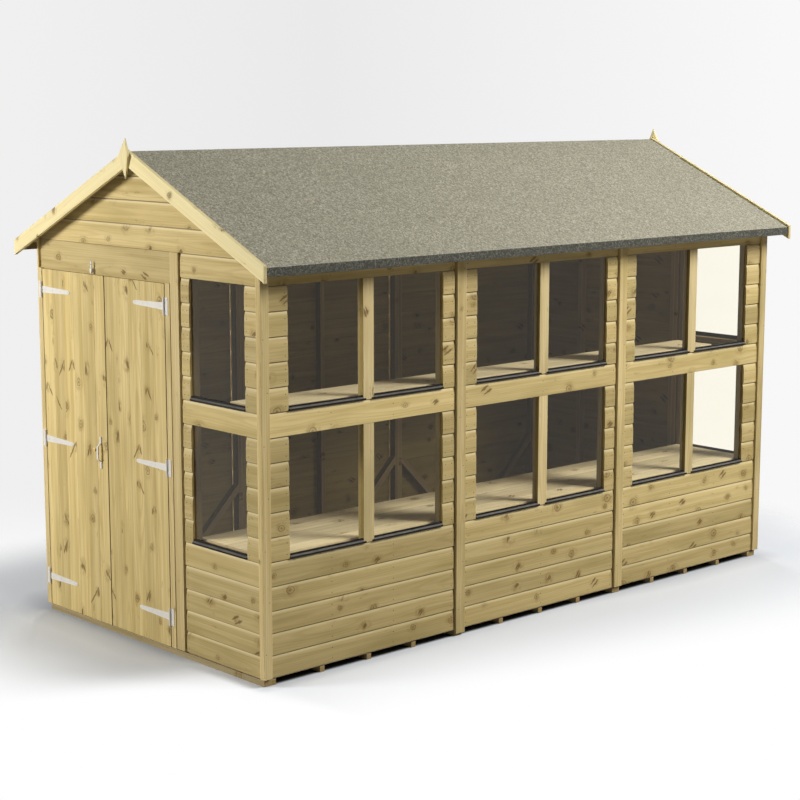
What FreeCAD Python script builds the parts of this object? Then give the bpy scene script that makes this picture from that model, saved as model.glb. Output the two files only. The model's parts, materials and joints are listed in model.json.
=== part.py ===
"""Potting shed with a glazed long wall, double doors, a felted apex roof and a bench inside.

The shed stands on its floor bearers at Z 0, centred on X and Y.  X runs across the shed, with the
windows on the +X wall.  Y runs along the ridge, with the doors in the -Y gable.
"""
import FreeCAD, Part
import Sketcher
import math
import os
import re

# Driving dimensions, in millimetres and degrees
SIZES = {
    # plan
    "room_width": 1700,
    "panel_length": 1200,
    "frame_depth": 44,
    "stud_width": 28,
    "corner_post": 28,
    "wall_brace": 48,
    "brace_rise": 440,
    # floor
    "bearer_width": 28,
    "bearer_height": 28,
    "bearer_overhang": 8,
    "floor_thick": 12,
    # cladding
    "clad_thick": 12,
    "clad_bottom": 36,
    "board_cover": 114.5,
    "round_height": 42,
    "round_seat": 5,
    "sill_height": 580,
    # windows
    "window_width": 968,
    "mullion_width": 66,
    "mullion_depth": 40,
    "gable_window_joint_side": 72,
    "gable_window_corner_side": 62,
    "glass_thick": 4,
    "glass_recess": 12,
    "sill_lip": 6,
    "sill_edge": 8,
    "sill_slope": 6,
    "sill_upstand": 8,
    "sill_back": 8,
    "sill_overrun": 12,
    # strips
    "strip_thick": 12,
    "cover_strip": 60,
    "long_strip_drop": 21,
    "corner_strip": 50,
    "corner_return": 20,
    "joint_gap": 8,
    # door opening and leaves
    "section_joint": 300,
    "hinge_strip_left": 26,
    "hinge_strip_right": 38,
    "joint_strip_width": 64,
    "joint_strip_thick": 8,
    "header_height": 151,
    "door_gap": 4,
    "left_leaf": 562,
    "leaf_thick": 12,
    "door_stop": 26,
    "door_post": 28,
    "ledge_thick": 28,
    "ledge_height": 94,
    "ledge_clearance": 10,
    "ledge_meeting_inset": 4,
    "brace_height": 100,
    # strap hinges
    "hinge_foot": 152,
    "hinge_head": 106,
    "hinge_mid_drop": 20.5,
    "strap_length": 246,
    "strap_root": 36,
    "strap_tip": 20,
    "strap_nose": 12,
    "strap_point": 8,
    "strap_thick": 2.5,
    "knuckle_radius": 5.5,
    "knuckle_stand": 6,
    "knuckle_gap": 0.6,
    "pin_radius": 2.5,
    "pin_clearance": 0.05,
    "hinge_plate_height": 85,
    "hinge_plate_width": 22,
    # handle
    "handle_inset": 58,
    "handle_drop": 86,
    "handle_foot": 30,
    "handle_leg": 18,
    "handle_grip": 63,
    "handle_stand": 18,
    "handle_thick": 6,
    "handle_width": 14,
    # lock
    "lock_inset": 114,
    "lock_rise": 3,
    "plug_radius": 8,
    "plug_clearance": 0.08,
    "plug_stand": 7,
    "lock_case_width": 134,
    "lock_case_height": 64,
    "lock_case_depth": 22,
    "lock_case_wall": 4,
    "lock_bolt_width": 20,
    "lock_bolt_thick": 9,
    "lock_bolt_length": 60,
    "lock_keep_length": 30,
    "slide_clearance": 0.3,
    # top bolt
    "bolt_inset": 101,
    "bolt_bar_width": 8,
    "bolt_bar_thick": 4,
    "bolt_bar_length": 62,
    "bolt_bracket_width": 15,
    "bolt_bracket_height": 20,
    "bolt_wall": 3,
    "bolt_lift": 5,
    "bolt_tab_width": 6,
    "bolt_tab_length": 9,
    "bolt_travel": 18,
    "bolt_door_gap": 1,
    # roof
    "roof_pitch": 25,
    "plate_depth": 89.5,
    "rafter_depth": 44,
    "ridge_thick": 18,
    "ridge_depth": 120,
    "collar_drop": 250,
    "collar_depth": 70,
    "collar_thick": 18,
    "deck_thick": 12,
    "eave_overhang": 112,
    "verge_overhang": 55,
    "eave_batten": 18,
    "verge_batten": 28,
    "felt_thick": 4,
    "drip_height": 43,
    "verge_fold": 40,
    "ridge_felt": 230,
    "barge_depth": 70,
    "barge_thick": 18,
    "barge_rise": 13,
    "barge_overrun": 8,
    "finial_thick": 18,
    "finial_width": 74,
    "finial_above": 82,
    "finial_below": 108,
    "finial_drop": 30,
    # bench and shelf
    "bench_board": 98.5,
    "bench_gap": 1.5,
    "bench_thick": 18,
    "bench_leg": 44,
    "shelf_board": 123,
    "shelf_short": 334,
    "shelf_bracket": 84,
}

PANELS = 3
BEARERS_PER_PANEL = 5
FLOOR_BOARDS = 10
LOW_COURSES = 3
SILL_COURSE = 5
WINDOW_COURSES = 5
LOW_HEAD = SILL_COURSE + WINDOW_COURSES
UPPER_SILL = LOW_HEAD + 1
UPPER_HEAD = UPPER_SILL + WINDOW_COURSES
GABLE_COURSE = UPPER_HEAD + 1
GABLE_COURSES = 4
LEFT_LEAF_BOARDS = 6
RIGHT_LEAF_BOARDS = 5
DECK_BOARDS = 8
BENCH_BOARDS = 5
SHELF_BOARDS = 2

Z_AXIS = FreeCAD.Vector(0, 0, 1)
Y_AXIS = FreeCAD.Vector(0, 1, 0)
X_AXIS = FreeCAD.Vector(1, 0, 0)
DIAGONAL = FreeCAD.Vector(1, 1, 1)

doc = FreeCAD.newDocument("potting_shed")
sheet = doc.addObject("Spreadsheet::Sheet", "dims")
for row, (alias, value) in enumerate(SIZES.items(), start=1):
    sheet.set(f"A{row}", str(value))
    sheet.setAlias(f"A{row}", alias)
doc.recompute()

ALIASES = re.compile(r"\b(" + "|".join(SIZES) + r")\b")

# Planes that many pieces share, written as formulas of the sheet
ROOM_X = "(room_width / 2)"
OUT_X = f"({ROOM_X} + frame_depth)"
FACE_X = f"({OUT_X} + clad_thick)"
STRIP_X = f"({FACE_X} + strip_thick)"
END_Y = f"({PANELS} * panel_length / 2)"
OUT_Y = f"({END_Y} + corner_post)"
ROOM_Y = f"({OUT_Y} - frame_depth)"
FACE_Y = f"({OUT_Y} + clad_thick)"
STRIP_Y = f"({FACE_Y} + strip_thick)"
FLOOR = "(bearer_height + floor_thick)"
LOW_COVER = f"((sill_height - {SILL_COURSE - LOW_COURSES} * board_cover - clad_bottom) / {LOW_COURSES})"
GLASS_OUT_X = f"({FACE_X} - glass_recess)"
GLASS_OUT_Y = f"({FACE_Y} - glass_recess)"


def course(number):
    """Height of a cladding course's lower edge, counted from the bottom of the wall."""
    if number < LOW_COURSES:
        return f"(clad_bottom + {number} * {LOW_COVER})"
    return f"(sill_height + {number - SILL_COURSE} * board_cover)"


WALL_TOP = course(GABLE_COURSE)
PLATE_FOOT = course(UPPER_HEAD)
PLATE_TOP = f"({PLATE_FOOT} + plate_depth)"
DOOR_FACE = f"({FACE_Y} + leaf_thick)"
DOOR_TOP = f"({WALL_TOP} - header_height)"
HEADER_BOTTOM = f"({DOOR_TOP} - door_stop)"
LEFT_EDGE = f"(-{FACE_X} + hinge_strip_left + door_gap)"
MEETING = f"({LEFT_EDGE} + left_leaf)"
RIGHT_START = f"({MEETING} + door_gap)"
RIGHT_EDGE = "(section_joint - joint_strip_width - hinge_strip_right - door_gap)"
HINGE_LOW = "(clad_bottom + hinge_foot)"
HINGE_HIGH = f"({DOOR_TOP} - hinge_head)"
HINGE_MID = f"(({HINGE_LOW} + {HINGE_HIGH}) / 2 - hinge_mid_drop)"
HINGES = (HINGE_LOW, HINGE_MID, HINGE_HIGH)
LOCK_X = f"({MEETING} - lock_inset)"
LOCK_Z = f"({HINGE_MID} + lock_rise)"
WINDOW_LOW = "(section_joint + gable_window_joint_side)"
WINDOW_HIGH = f"({ROOM_X} - gable_window_corner_side)"
APEX = f"({PLATE_TOP} + {OUT_X} * tan(roof_pitch) + rafter_depth / cos(roof_pitch))"
DECK_RISE = "(deck_thick / cos(roof_pitch))"
FELT_RISE = "(felt_thick / cos(roof_pitch))"
EAVE_X = f"({FACE_X} + eave_overhang)"
DRIP_X = f"({EAVE_X} + felt_thick)"
VERGE_Y = f"({FACE_Y} + verge_overhang)"
BARGE_Y = f"({VERGE_Y} + felt_thick)"
BARGE_X = f"({DRIP_X} + barge_overrun)"
FELT_APEX = f"({APEX} + {DECK_RISE} + {FELT_RISE})"
BARGE_APEX = f"({FELT_APEX} + barge_rise)"
DRIP_Z = f"({FELT_APEX} - {DRIP_X} * tan(roof_pitch) - drip_height)"
BENCH_UNDER = course(SILL_COURSE)
BENCH_EDGE = f"({ROOM_X} - {BENCH_BOARDS} * bench_board - {BENCH_BOARDS - 1} * bench_gap)"
SHELF_UNDER = course(UPPER_SILL)


def cells(formula):
    """The formula with every size read from its cell."""
    return ALIASES.sub(r"dims.\1", str(formula))


def under(x):
    """Underside of the roof boards at a distance from the ridge."""
    return f"({APEX} - ({x}) * tan(roof_pitch))"


def under_rafter(x):
    """Underside of the rafters at a distance from the ridge."""
    return f"({under(x)} - rafter_depth / cos(roof_pitch))"


def bind(solid, sizes):
    for name, formula in sizes.items():
        solid.setExpression(name, cells(formula))


def block(x, y, z):
    """A square-cut piece between a low and a high formula on each axis."""
    solid = doc.addObject("Part::Box", "block")
    for size, axis, (low, high) in zip(("Length", "Width", "Height"), "xyz", (x, y, z)):
        bind(solid, {size: f"({high}) - ({low})", f"Placement.Base.{axis}": low})
    return solid


def wall_block(wall, along, out, up):
    """A square-cut piece of one wall: along the wall, outwards from the middle, and up."""
    low, high = out
    mirrored = (f"-({high})", f"-({low})")
    if wall == "right":
        return block(out, along, up)
    if wall == "left":
        return block(mirrored, along, up)
    if wall == "back":
        return block(along, out, up)
    return block(along, mirrored, up)


def slant(run, foot, top, thick, plane="xz"):
    """A bar of even thickness whose two edges, foot and top, slope from one end of the run to the other.

    The plane's first letter is the axis of the run and its second the axis of foot and top.
    """
    solid = doc.addObject("Part::Wedge", "slant")
    near, far = thick
    if plane == "yz":
        near, far = f"-({thick[1]})", f"-({thick[0]})"
    turns = {"xz": (DIAGONAL, 240), "yz": (Y_AXIS, -90), "zy": (DIAGONAL, 120)}
    solid.Placement.Rotation = FreeCAD.Rotation(*turns[plane])
    bind(solid, {"Ymin": run[0], "Ymax": run[1], "Xmin": foot[0], "Xmax": top[0],
                 "X2min": foot[1], "X2max": top[1], "Zmin": near, "Zmax": far, "Z2min": near, "Z2max": far})
    return solid


def slope(side, run, apex, depth, thick):
    """A piece that follows one roof slope, with its upper edge on a line from the given apex height."""
    top = [f"({apex} - ({x}) * tan(roof_pitch))" for x in run]
    foot = [f"({z} - {depth})" for z in top]
    if side == "right":
        return slant(run, foot, top, thick)
    mirrored = [f"-({x})" for x in reversed(run)]
    return slant(mirrored, foot[::-1], top[::-1], thick)


def rod(centre, radius, length, axis="z"):
    """A round piece from its lower end centre, along Z or along Y."""
    solid = doc.addObject("Part::Cylinder", "rod")
    if axis == "y":
        solid.Placement.Rotation = FreeCAD.Rotation(X_AXIS, -90)
    bind(solid, {"Radius": radius, "Height": length})
    bind(solid, {f"Placement.Base.{name}": formula for name, formula in zip("xyz", centre)})
    return solid


def fuse(*solids):
    joined = doc.addObject("Part::MultiFuse", "joined")
    joined.Shapes = list(solids)
    return joined


def cut(base, *tools):
    for tool in tools:
        result = doc.addObject("Part::Cut", "cut")
        result.Base = base
        result.Tool = tool
        base = result
    return base


def common(base, tool):
    result = doc.addObject("Part::Common", "common")
    result.Base = base
    result.Tool = tool
    return result


nodes = []


def node(name, solids):
    """One named sub-part, made of one or more separate pieces."""
    group = doc.addObject("Part::Compound", name)
    group.Links = solids
    group.Label = name
    nodes.append(group)


def section(name):
    """An empty sketch that stands upright, with its own X along X and its own Y along Z."""
    sketch = doc.addObject("Sketcher::SketchObject", name)
    sketch.Placement.Rotation = FreeCAD.Rotation(X_AXIS, 90)
    return sketch


def join(sketch, pairs):
    for first, second in pairs:
        sketch.addConstraint(Sketcher.Constraint("Coincident", *first, *second))


def size(sketch, label, formula, constraint):
    """Adds a dimension to a sketch and binds it to the sheet."""
    number = sketch.addConstraint(constraint)
    sketch.renameConstraint(number, label)
    sketch.setExpression(f"Constraints.{label}", cells(formula))


def board_profile(name, cover):
    """Section of a shiplap board: a flat face that rounds back to the seat of the next board."""
    sketch = section(name)
    thick, seat, tall = SIZES["clad_thick"], SIZES["round_seat"], SIZES["round_height"]
    rise = SIZES["board_cover"]
    depth = thick - seat
    radius = (tall ** 2 + depth ** 2) / (2 * depth)
    half_turn = math.atan2(depth, tall)
    places = ((0, 0), (thick, 0), (thick, rise - tall), (seat, rise), (0, rise))
    corners = [FreeCAD.Vector(x, z, 0) for x, z in places]
    inset, lift = radius * (1 - math.cos(half_turn)), radius * math.sin(half_turn)
    middle = FreeCAD.Vector(thick - inset, rise - tall + lift, 0)
    bottom = sketch.addGeometry(Part.LineSegment(corners[0], corners[1]))
    face = sketch.addGeometry(Part.LineSegment(corners[1], corners[2]))
    curve = sketch.addGeometry(Part.Arc(corners[2], middle, corners[3]))
    top = sketch.addGeometry(Part.LineSegment(corners[3], corners[4]))
    back = sketch.addGeometry(Part.LineSegment(corners[4], corners[0]))
    join(sketch, (((bottom, 2), (face, 1)), ((curve, 2), (top, 1)), ((top, 2), (back, 1)),
                  ((back, 2), (bottom, 1)), ((bottom, 1), (-1, 1))))
    sketch.addConstraint(Sketcher.Constraint("Tangent", face, 2, curve, 1))
    for line in (bottom, top):
        sketch.addConstraint(Sketcher.Constraint("Horizontal", line))
    for line in (face, back):
        sketch.addConstraint(Sketcher.Constraint("Vertical", line))
    size(sketch, "thick", "clad_thick", Sketcher.Constraint("DistanceX", bottom, 1, bottom, 2, thick))
    size(sketch, "rise", cover, Sketcher.Constraint("DistanceY", back, 2, back, 1, rise))
    size(sketch, "seat", "round_seat", Sketcher.Constraint("DistanceX", top, 2, top, 1, seat))
    size(sketch, "round", "round_height", Sketcher.Constraint("DistanceY", face, 2, curve, 2, tall))
    return sketch


def kite_profile(name):
    """Outline of a finial, standing on its lower point."""
    sketch = section(name)
    half, below = SIZES["finial_width"] / 2, SIZES["finial_below"]
    tall = below + SIZES["finial_above"]
    corners = [FreeCAD.Vector(x, z, 0) for x, z in ((0, 0), (half, below), (0, tall), (-half, below))]
    for first, second in zip(corners, corners[1:] + corners[:1]):
        sketch.addGeometry(Part.LineSegment(first, second))
    join(sketch, (((0, 2), (1, 1)), ((1, 2), (2, 1)), ((2, 2), (3, 1)), ((3, 2), (0, 1)), ((0, 1), (-1, 1))))
    sketch.addConstraint(Sketcher.Constraint("PointOnObject", 2, 1, -2))
    sketch.addConstraint(Sketcher.Constraint("Symmetric", 1, 1, 3, 1, -2))
    size(sketch, "width", "finial_width", Sketcher.Constraint("DistanceX", 3, 1, 1, 1, 2 * half))
    size(sketch, "shoulder", "finial_below", Sketcher.Constraint("DistanceY", 0, 1, 1, 1, below))
    size(sketch, "tall", "finial_below + finial_above", Sketcher.Constraint("DistanceY", 0, 1, 2, 1, tall))
    return sketch


def extrude(profile, length):
    """A piece of constant section along Y."""
    solid = doc.addObject("Part::Extrusion", "extrusion")
    solid.Base = profile
    solid.DirMode = "Custom"
    solid.Dir = Y_AXIS
    solid.Solid = True
    bind(solid, {"LengthFwd": length})
    return solid


full_profile = board_profile("shiplap_profile", "board_cover")
low_profile = board_profile("low_shiplap_profile", LOW_COVER)
finial_profile = kite_profile("finial_profile")


def shiplap(wall, along, number):
    """One shiplap board of a wall, in the course of that number."""
    low, high = along
    board = extrude(low_profile if number < LOW_COURSES else full_profile, f"({high}) - ({low})")
    turn, x, y = {"right": (0, OUT_X, low), "left": (180, f"-{OUT_X}", high),
                  "front": (-90, low, f"-{OUT_Y}"), "back": (90, high, OUT_Y)}[wall]
    board.Placement.Rotation = FreeCAD.Rotation(Z_AXIS, turn)
    bind(board, {"Placement.Base.x": x, "Placement.Base.y": y, "Placement.Base.z": course(number)})
    return board


def wall_planes(wall):
    """Inner frame face, outer frame face, cladding face and outer glass face of a wall."""
    if wall in ("left", "right"):
        return ROOM_X, OUT_X, FACE_X, GLASS_OUT_X
    return ROOM_Y, OUT_Y, FACE_Y, GLASS_OUT_Y


# Floor


def floor():
    bearers = []
    boards = []
    ends = (f"-{OUT_X} - bearer_overhang", f"{OUT_X} + bearer_overhang")
    for panel in range(PANELS):
        start = f"(-{END_Y} + {panel} * panel_length)"
        for step in range(BEARERS_PER_PANEL):
            low = f"({start} + {step} * (panel_length - bearer_width) / {BEARERS_PER_PANEL - 1})"
            bearers.append(block(ends, (low, f"{low} + bearer_width"), (0, "bearer_height")))
        first = f"-{OUT_Y}" if panel == 0 else start
        last = OUT_Y if panel == PANELS - 1 else f"{start} + panel_length"
        for step in range(FLOOR_BOARDS):
            edges = [f"(-{OUT_X} + {count} * 2 * {OUT_X} / {FLOOR_BOARDS})" for count in (step, step + 1)]
            boards.append(block(edges, (first, last), ("bearer_height", FLOOR)))
    bearers.append(block(ends, (END_Y, FACE_Y), (0, "bearer_height")))
    bearers.append(block(ends, (f"-{FACE_Y}", f"-{END_Y}"), (0, "bearer_height")))
    node("floor_bearers", bearers)
    node("floor_boards", boards)


# Windows, shared by the long wall and both gables


def pane_spans(low, high, mullion):
    """The panes between the jambs, on both sides of the mullion if there is one."""
    if not mullion:
        return [(low, high)]
    middle = f"((({low}) + ({high})) / 2)"
    return [(low, f"{middle} - mullion_width / 2"), (f"{middle} + mullion_width / 2", high)]


def window_frame(wall, low, high, mullion):
    """Rails and mullions of one column of windows, between its jamb studs."""
    inner, outer, face = wall_planes(wall)[:3]
    depth = (inner, outer)
    rails = [f"{course(SILL_COURSE)} - stud_width", course(LOW_HEAD), f"{course(UPPER_SILL)} - stud_width"]
    pieces = [wall_block(wall, (low, high), depth, (z, f"{z} + stud_width")) for z in rails]
    middle = f"((({low}) + ({high})) / 2)"
    if mullion:
        span = (f"{middle} - mullion_width / 2", f"{middle} + mullion_width / 2")
        for bottom, head in ((SILL_COURSE, LOW_HEAD), (UPPER_SILL, UPPER_HEAD)):
            up = (course(bottom), course(head))
            pieces.append(wall_block(wall, span, (f"{face} - mullion_depth", face), up))
    return pieces


def glazing(wall, low, high, mullion):
    """The panes of one column of windows."""
    glass = wall_planes(wall)[3]
    depth = (f"{glass} - glass_thick", glass)
    return [wall_block(wall, span, depth, (course(bottom), course(head)))
            for bottom, head in ((SILL_COURSE, LOW_HEAD), (UPPER_SILL, UPPER_HEAD))
            for span in pane_spans(low, high, mullion)]


def sill(wall, span, overrun, base):
    """A drip sill: an upstand against the glass and a sloping lip that stands out from the cladding."""
    face, glass = wall_planes(wall)[2:]
    edge = f"({face} + sill_lip)"
    shoulder = f"({glass} + sill_back)"
    crest = f"{base} + sill_edge + sill_slope + sill_upstand"
    upstand = wall_block(wall, span, (glass, shoulder), (base, crest))
    run = {"right": (shoulder, edge), "back": (shoulder, edge), "front": (f"-{edge}", f"-{shoulder}")}[wall]
    heights = [f"{base} + sill_edge + sill_slope", f"{base} + sill_edge"]
    if wall == "front":
        heights.reverse()
    plane = "xz" if wall == "right" else "yz"
    lip = slant(run, (base, base), heights, span, plane)
    nose_span = (f"{span[0]} - {overrun[0]}", f"{span[1]} + {overrun[1]}")
    nose = wall_block(wall, nose_span, (face, edge), (base, f"{base} + sill_edge"))
    return fuse(upstand, lip, nose)


def sills(wall, low, high, mullion):
    """The drip sills under the panes, with noses that run past the mullion's edges."""
    pieces = []
    spans = pane_spans(low, high, mullion)
    for bottom in (SILL_COURSE, UPPER_SILL):
        for number, span in enumerate(spans):
            overrun = ("0", "0")
            if mullion:
                overrun = ("0", "sill_overrun") if number == 0 else ("sill_overrun", "0")
            pieces.append(sill(wall, span, overrun, course(bottom)))
    return pieces


def window_cladding(wall, low, high, window_low, window_high):
    """Shiplap round two tall windows: whole boards below and between, cut boards beside."""
    whole = list(range(SILL_COURSE)) + [LOW_HEAD]
    beside = list(range(SILL_COURSE, LOW_HEAD)) + list(range(UPPER_SILL, UPPER_HEAD))
    boards = [shiplap(wall, (low, high), number) for number in whole]
    for number in beside:
        boards.append(shiplap(wall, (low, window_low), number))
        boards.append(shiplap(wall, (window_high, high), number))
    return boards


# Long walls


def panel_ends(panel):
    start = f"(-{END_Y} + {panel} * panel_length)"
    return start, f"({start} + panel_length)"


def cladding_ends(panel):
    """Where the boards of a long panel stop: at the corner, or at the strip that covers the joint."""
    start, stop = panel_ends(panel)
    low = f"-{FACE_Y}" if panel == 0 else f"({start} + cover_strip / 2)"
    high = FACE_Y if panel == PANELS - 1 else f"({stop} - cover_strip / 2 - joint_gap)"
    return low, high


def top_plate(wall, along):
    """Top plate whose upper face is planed to the slope of the rafters."""
    top = (under_rafter(ROOM_X), under_rafter(OUT_X))
    foot = (PLATE_FOOT, PLATE_FOOT)
    if wall == "right":
        return slant((ROOM_X, OUT_X), foot, top, along)
    return slant((f"-{OUT_X}", f"-{ROOM_X}"), foot, top[::-1], along)


def top_board(wall, along):
    """The board over the highest course, ripped to reach the roof boards."""
    return wall_block(wall, along, (OUT_X, FACE_X), (PLATE_FOOT, under(FACE_X)))


def panel_frame(wall, panel, inner_studs):
    start, stop = panel_ends(panel)
    depth = (ROOM_X, OUT_X)
    plate_top = f"{FLOOR} + stud_width"
    upright = (plate_top, PLATE_FOOT)
    studs = [start, f"{stop} - stud_width"] + inner_studs
    pieces = [wall_block(wall, (start, stop), depth, (FLOOR, plate_top)), top_plate(wall, (start, stop))]
    pieces += [wall_block(wall, (low, f"{low} + stud_width"), depth, upright) for low in studs]
    return pieces


def window_panel(panel):
    name = f"window_panel_{panel + 1}"
    middle = f"(-{END_Y} + {panel + 0.5} * panel_length)"
    low, high = f"({middle} - window_width / 2)", f"({middle} + window_width / 2)"
    frame = panel_frame("right", panel, [f"({low} - stud_width)", high])
    node(f"{name}_frame", frame + window_frame("right", low, high, True))
    boards = window_cladding("right", *cladding_ends(panel), low, high)
    node(f"{name}_cladding", boards + [top_board("right", cladding_ends(panel))])
    node(f"{name}_glazing", glazing("right", low, high, True))
    return sills("right", low, high, True)


def plain_panel(panel):
    name = f"plain_panel_{panel + 1}"
    start, stop = panel_ends(panel)
    middle = f"(({start} + {stop}) / 2)"
    bays = ((f"({start} + stud_width)", f"({middle} - stud_width / 2)"),
            (f"({middle} + stud_width / 2)", f"({stop} - stud_width)"))
    frame = panel_frame("left", panel, [f"({middle} - stud_width / 2)"])
    depth = (ROOM_X, OUT_X)
    foot = f"({FLOOR} + stud_width)"
    high = f"({foot} + brace_rise)"
    low = f"({high} - ({middle} - {start} - 3 * stud_width / 2))"
    for bay, tops in zip(bays, ((high, low), (low, high))):
        heights = [f"({top} - wall_brace)" for top in tops]
        brace = slant(bay, heights, tops, (f"-{OUT_X}", f"-{ROOM_X}"), "yz")
        frame.append(common(brace, wall_block("left", bay, depth, (foot, high))))
    node(f"{name}_frame", frame)
    boards = [shiplap("left", cladding_ends(panel), number) for number in range(UPPER_HEAD)]
    node(f"{name}_cladding", boards + [top_board("left", cladding_ends(panel))])


# Gables


TIE_TOP = under_rafter(ROOM_X)
TIE_FOOT = f"({TIE_TOP} - frame_depth)"


def gable_frame(wall, studs):
    """Tie, king stud, window section and the given further studs of one gable."""
    depth = (ROOM_Y, OUT_Y)
    plate_top = f"{FLOOR} + stud_width"
    upright = (plate_top, TIE_FOOT)
    lows = ["section_joint", f"({WINDOW_LOW} - stud_width)", WINDOW_HIGH, f"({ROOM_X} - stud_width)"]
    pieces = [wall_block(wall, (f"-{ROOM_X}", ROOM_X), depth, (TIE_FOOT, TIE_TOP)),
              wall_block(wall, ("-stud_width / 2", "stud_width / 2"), depth,
                         (TIE_TOP, under_rafter("stud_width / 2"))),
              wall_block(wall, ("section_joint", ROOM_X), depth, (FLOOR, plate_top)),
              wall_block(wall, (WINDOW_LOW, WINDOW_HIGH), depth, (PLATE_FOOT, f"{PLATE_FOOT} + stud_width"))]
    pieces += [wall_block(wall, (low, f"{low} + stud_width"), depth, upright) for low in lows + studs]
    return pieces + window_frame(wall, WINDOW_LOW, WINDOW_HIGH, False)


def gable_boards(wall):
    """Boards above the wall, cut to the slopes of the roof."""
    reach = (f"-{OUT_X}", OUT_X)
    triangle_ends = {"front": (f"-{FACE_Y}", f"-{OUT_Y}"), "back": (OUT_Y, FACE_Y)}[wall]
    boards = []
    for number in range(GABLE_COURSE, GABLE_COURSE + GABLE_COURSES):
        halves = [slope(side, ("0", FACE_X), APEX, f"({APEX} - {WALL_TOP} + board_cover)", triangle_ends)
                  for side in ("left", "right")]
        boards.append(common(shiplap(wall, reach, number), fuse(*halves)))
    return boards


def front_gable():
    depth = (ROOM_Y, OUT_Y)
    right_post = f"({RIGHT_EDGE} - door_gap)"
    frame = gable_frame("front", [])
    for low in (f"-{ROOM_X}", right_post):
        frame.append(wall_block("front", (low, f"{low} + door_post"), depth, (FLOOR, TIE_FOOT)))
    head = (f"({DOOR_TOP} + door_gap)", f"({DOOR_TOP} + door_gap + door_post)")
    frame.append(wall_block("front", (f"-{ROOM_X} + door_post", right_post), depth, head))
    node("front_frame", frame)
    low = "(section_joint + joint_gap)"
    boards = window_cladding("front", low, OUT_X, WINDOW_LOW, WINDOW_HIGH)
    node("front_cladding", boards + [shiplap("front", (low, OUT_X), UPPER_HEAD)])
    header = wall_block("front", (f"-{OUT_X}", "section_joint"), (OUT_Y, FACE_Y),
                        (HEADER_BOTTOM, WALL_TOP))
    node("front_gable_boards", gable_boards("front") + [header])


def back_gable():
    third = f"((section_joint + {ROOM_X}) / 3)"
    depth = (ROOM_Y, OUT_Y)
    plate = (f"-{ROOM_X}", "section_joint")
    studs = [f"-{ROOM_X}", f"(-{ROOM_X} + {third})", f"(-{ROOM_X} + 2 * {third})",
             "(section_joint - stud_width)"]
    frame = gable_frame("back", studs)
    frame.append(wall_block("back", plate, depth, (FLOOR, f"{FLOOR} + stud_width")))
    node("back_frame", frame)
    plain_ends = (f"-{OUT_X}", "(section_joint - cover_strip / 2)")
    low = "(section_joint + cover_strip / 2)"
    boards = window_cladding("back", low, OUT_X, WINDOW_LOW, WINDOW_HIGH)
    boards += [shiplap("back", plain_ends, number) for number in range(GABLE_COURSE)]
    node("back_cladding", boards + [shiplap("back", (low, OUT_X), UPPER_HEAD)])
    node("back_gable_boards", gable_boards("back"))


# Corner posts, strips and linings


def corners_and_strips():
    posts = []
    strips = []
    strip_top = under(STRIP_X)
    post_top = (under_rafter(ROOM_X), under_rafter(OUT_X))
    for side in (-1, 1):
        for end in (-1, 1):
            span = (END_Y, OUT_Y) if end > 0 else (f"-{OUT_Y}", f"-{END_Y}")
            if side > 0:
                posts.append(slant((ROOM_X, OUT_X), (FLOOR, FLOOR), post_top, span))
            else:
                posts.append(slant((f"-{OUT_X}", f"-{ROOM_X}"), (FLOOR, FLOOR), post_top[::-1], span))
            wall = "right" if side > 0 else "left"
            reach = (f"{STRIP_Y} - corner_strip", STRIP_Y)
            if end < 0:
                reach = (f"-{STRIP_Y}", f"-{STRIP_Y} + corner_strip")
            strips.append(wall_block(wall, reach, (FACE_X, STRIP_X), ("clad_bottom", strip_top)))
            if (side, end) != (-1, -1):
                edge = (f"{FACE_X} - corner_return", FACE_X)
                if side < 0:
                    edge = (f"-{FACE_X}", f"-{FACE_X} + corner_return")
                gable = "back" if end > 0 else "front"
                strips.append(wall_block(gable, edge, (FACE_Y, STRIP_Y), ("clad_bottom", strip_top)))
    node("corner_posts", posts)
    node("corner_strips", strips)


def joint_strips():
    """Strips over the panel joints. The first on the glazed side hangs down past the bearer ends."""
    strips = []
    for wall in ("left", "right"):
        for panel in range(1, PANELS):
            joint = panel_ends(panel)[0]
            span = (f"{joint} - cover_strip / 2", f"{joint} + cover_strip / 2")
            strip = wall_block(wall, span, (OUT_X, STRIP_X), ("clad_bottom", under(STRIP_X)))
            if (wall, panel) == ("right", 1):
                tail_depth = (f"({OUT_X} + bearer_overhang)", STRIP_X)
                tail = wall_block(wall, span, tail_depth, ("clad_bottom - long_strip_drop", "clad_bottom"))
                strip = fuse(strip, tail)
            strips.append(strip)
    span = ("section_joint - cover_strip / 2", "section_joint + cover_strip / 2")
    strips.append(wall_block("back", span, (OUT_Y, STRIP_Y), ("clad_bottom", WALL_TOP)))
    node("joint_strips", strips)


def door_linings():
    """Stops behind the door edges, hinge strips beside them and the strip over the section joint."""
    stop_depth = (OUT_Y, FACE_Y)
    left_stop = (f"-{OUT_X}", f"({LEFT_EDGE} + door_stop)")
    right_stop = (f"({RIGHT_EDGE} - door_stop)", "section_joint")
    stops = [wall_block("front", span, stop_depth, ("clad_bottom", HEADER_BOTTOM))
             for span in (left_stop, right_stop)]
    strip_up = ("clad_bottom", f"{DOOR_TOP} + door_gap")
    left = (f"-{FACE_X}", f"({LEFT_EDGE} - door_gap)")
    right = (f"({RIGHT_EDGE} + door_gap)", f"({RIGHT_EDGE} + door_gap + hinge_strip_right)")
    strips = [wall_block("front", span, (FACE_Y, DOOR_FACE), strip_up) for span in (left, right)]
    joint = (right[1], "section_joint")
    joint_depth = (FACE_Y, f"{FACE_Y} + joint_strip_thick")
    strips.append(wall_block("front", joint, joint_depth, ("clad_bottom", WALL_TOP)))
    node("door_linings", stops + strips)


# Roof


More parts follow.
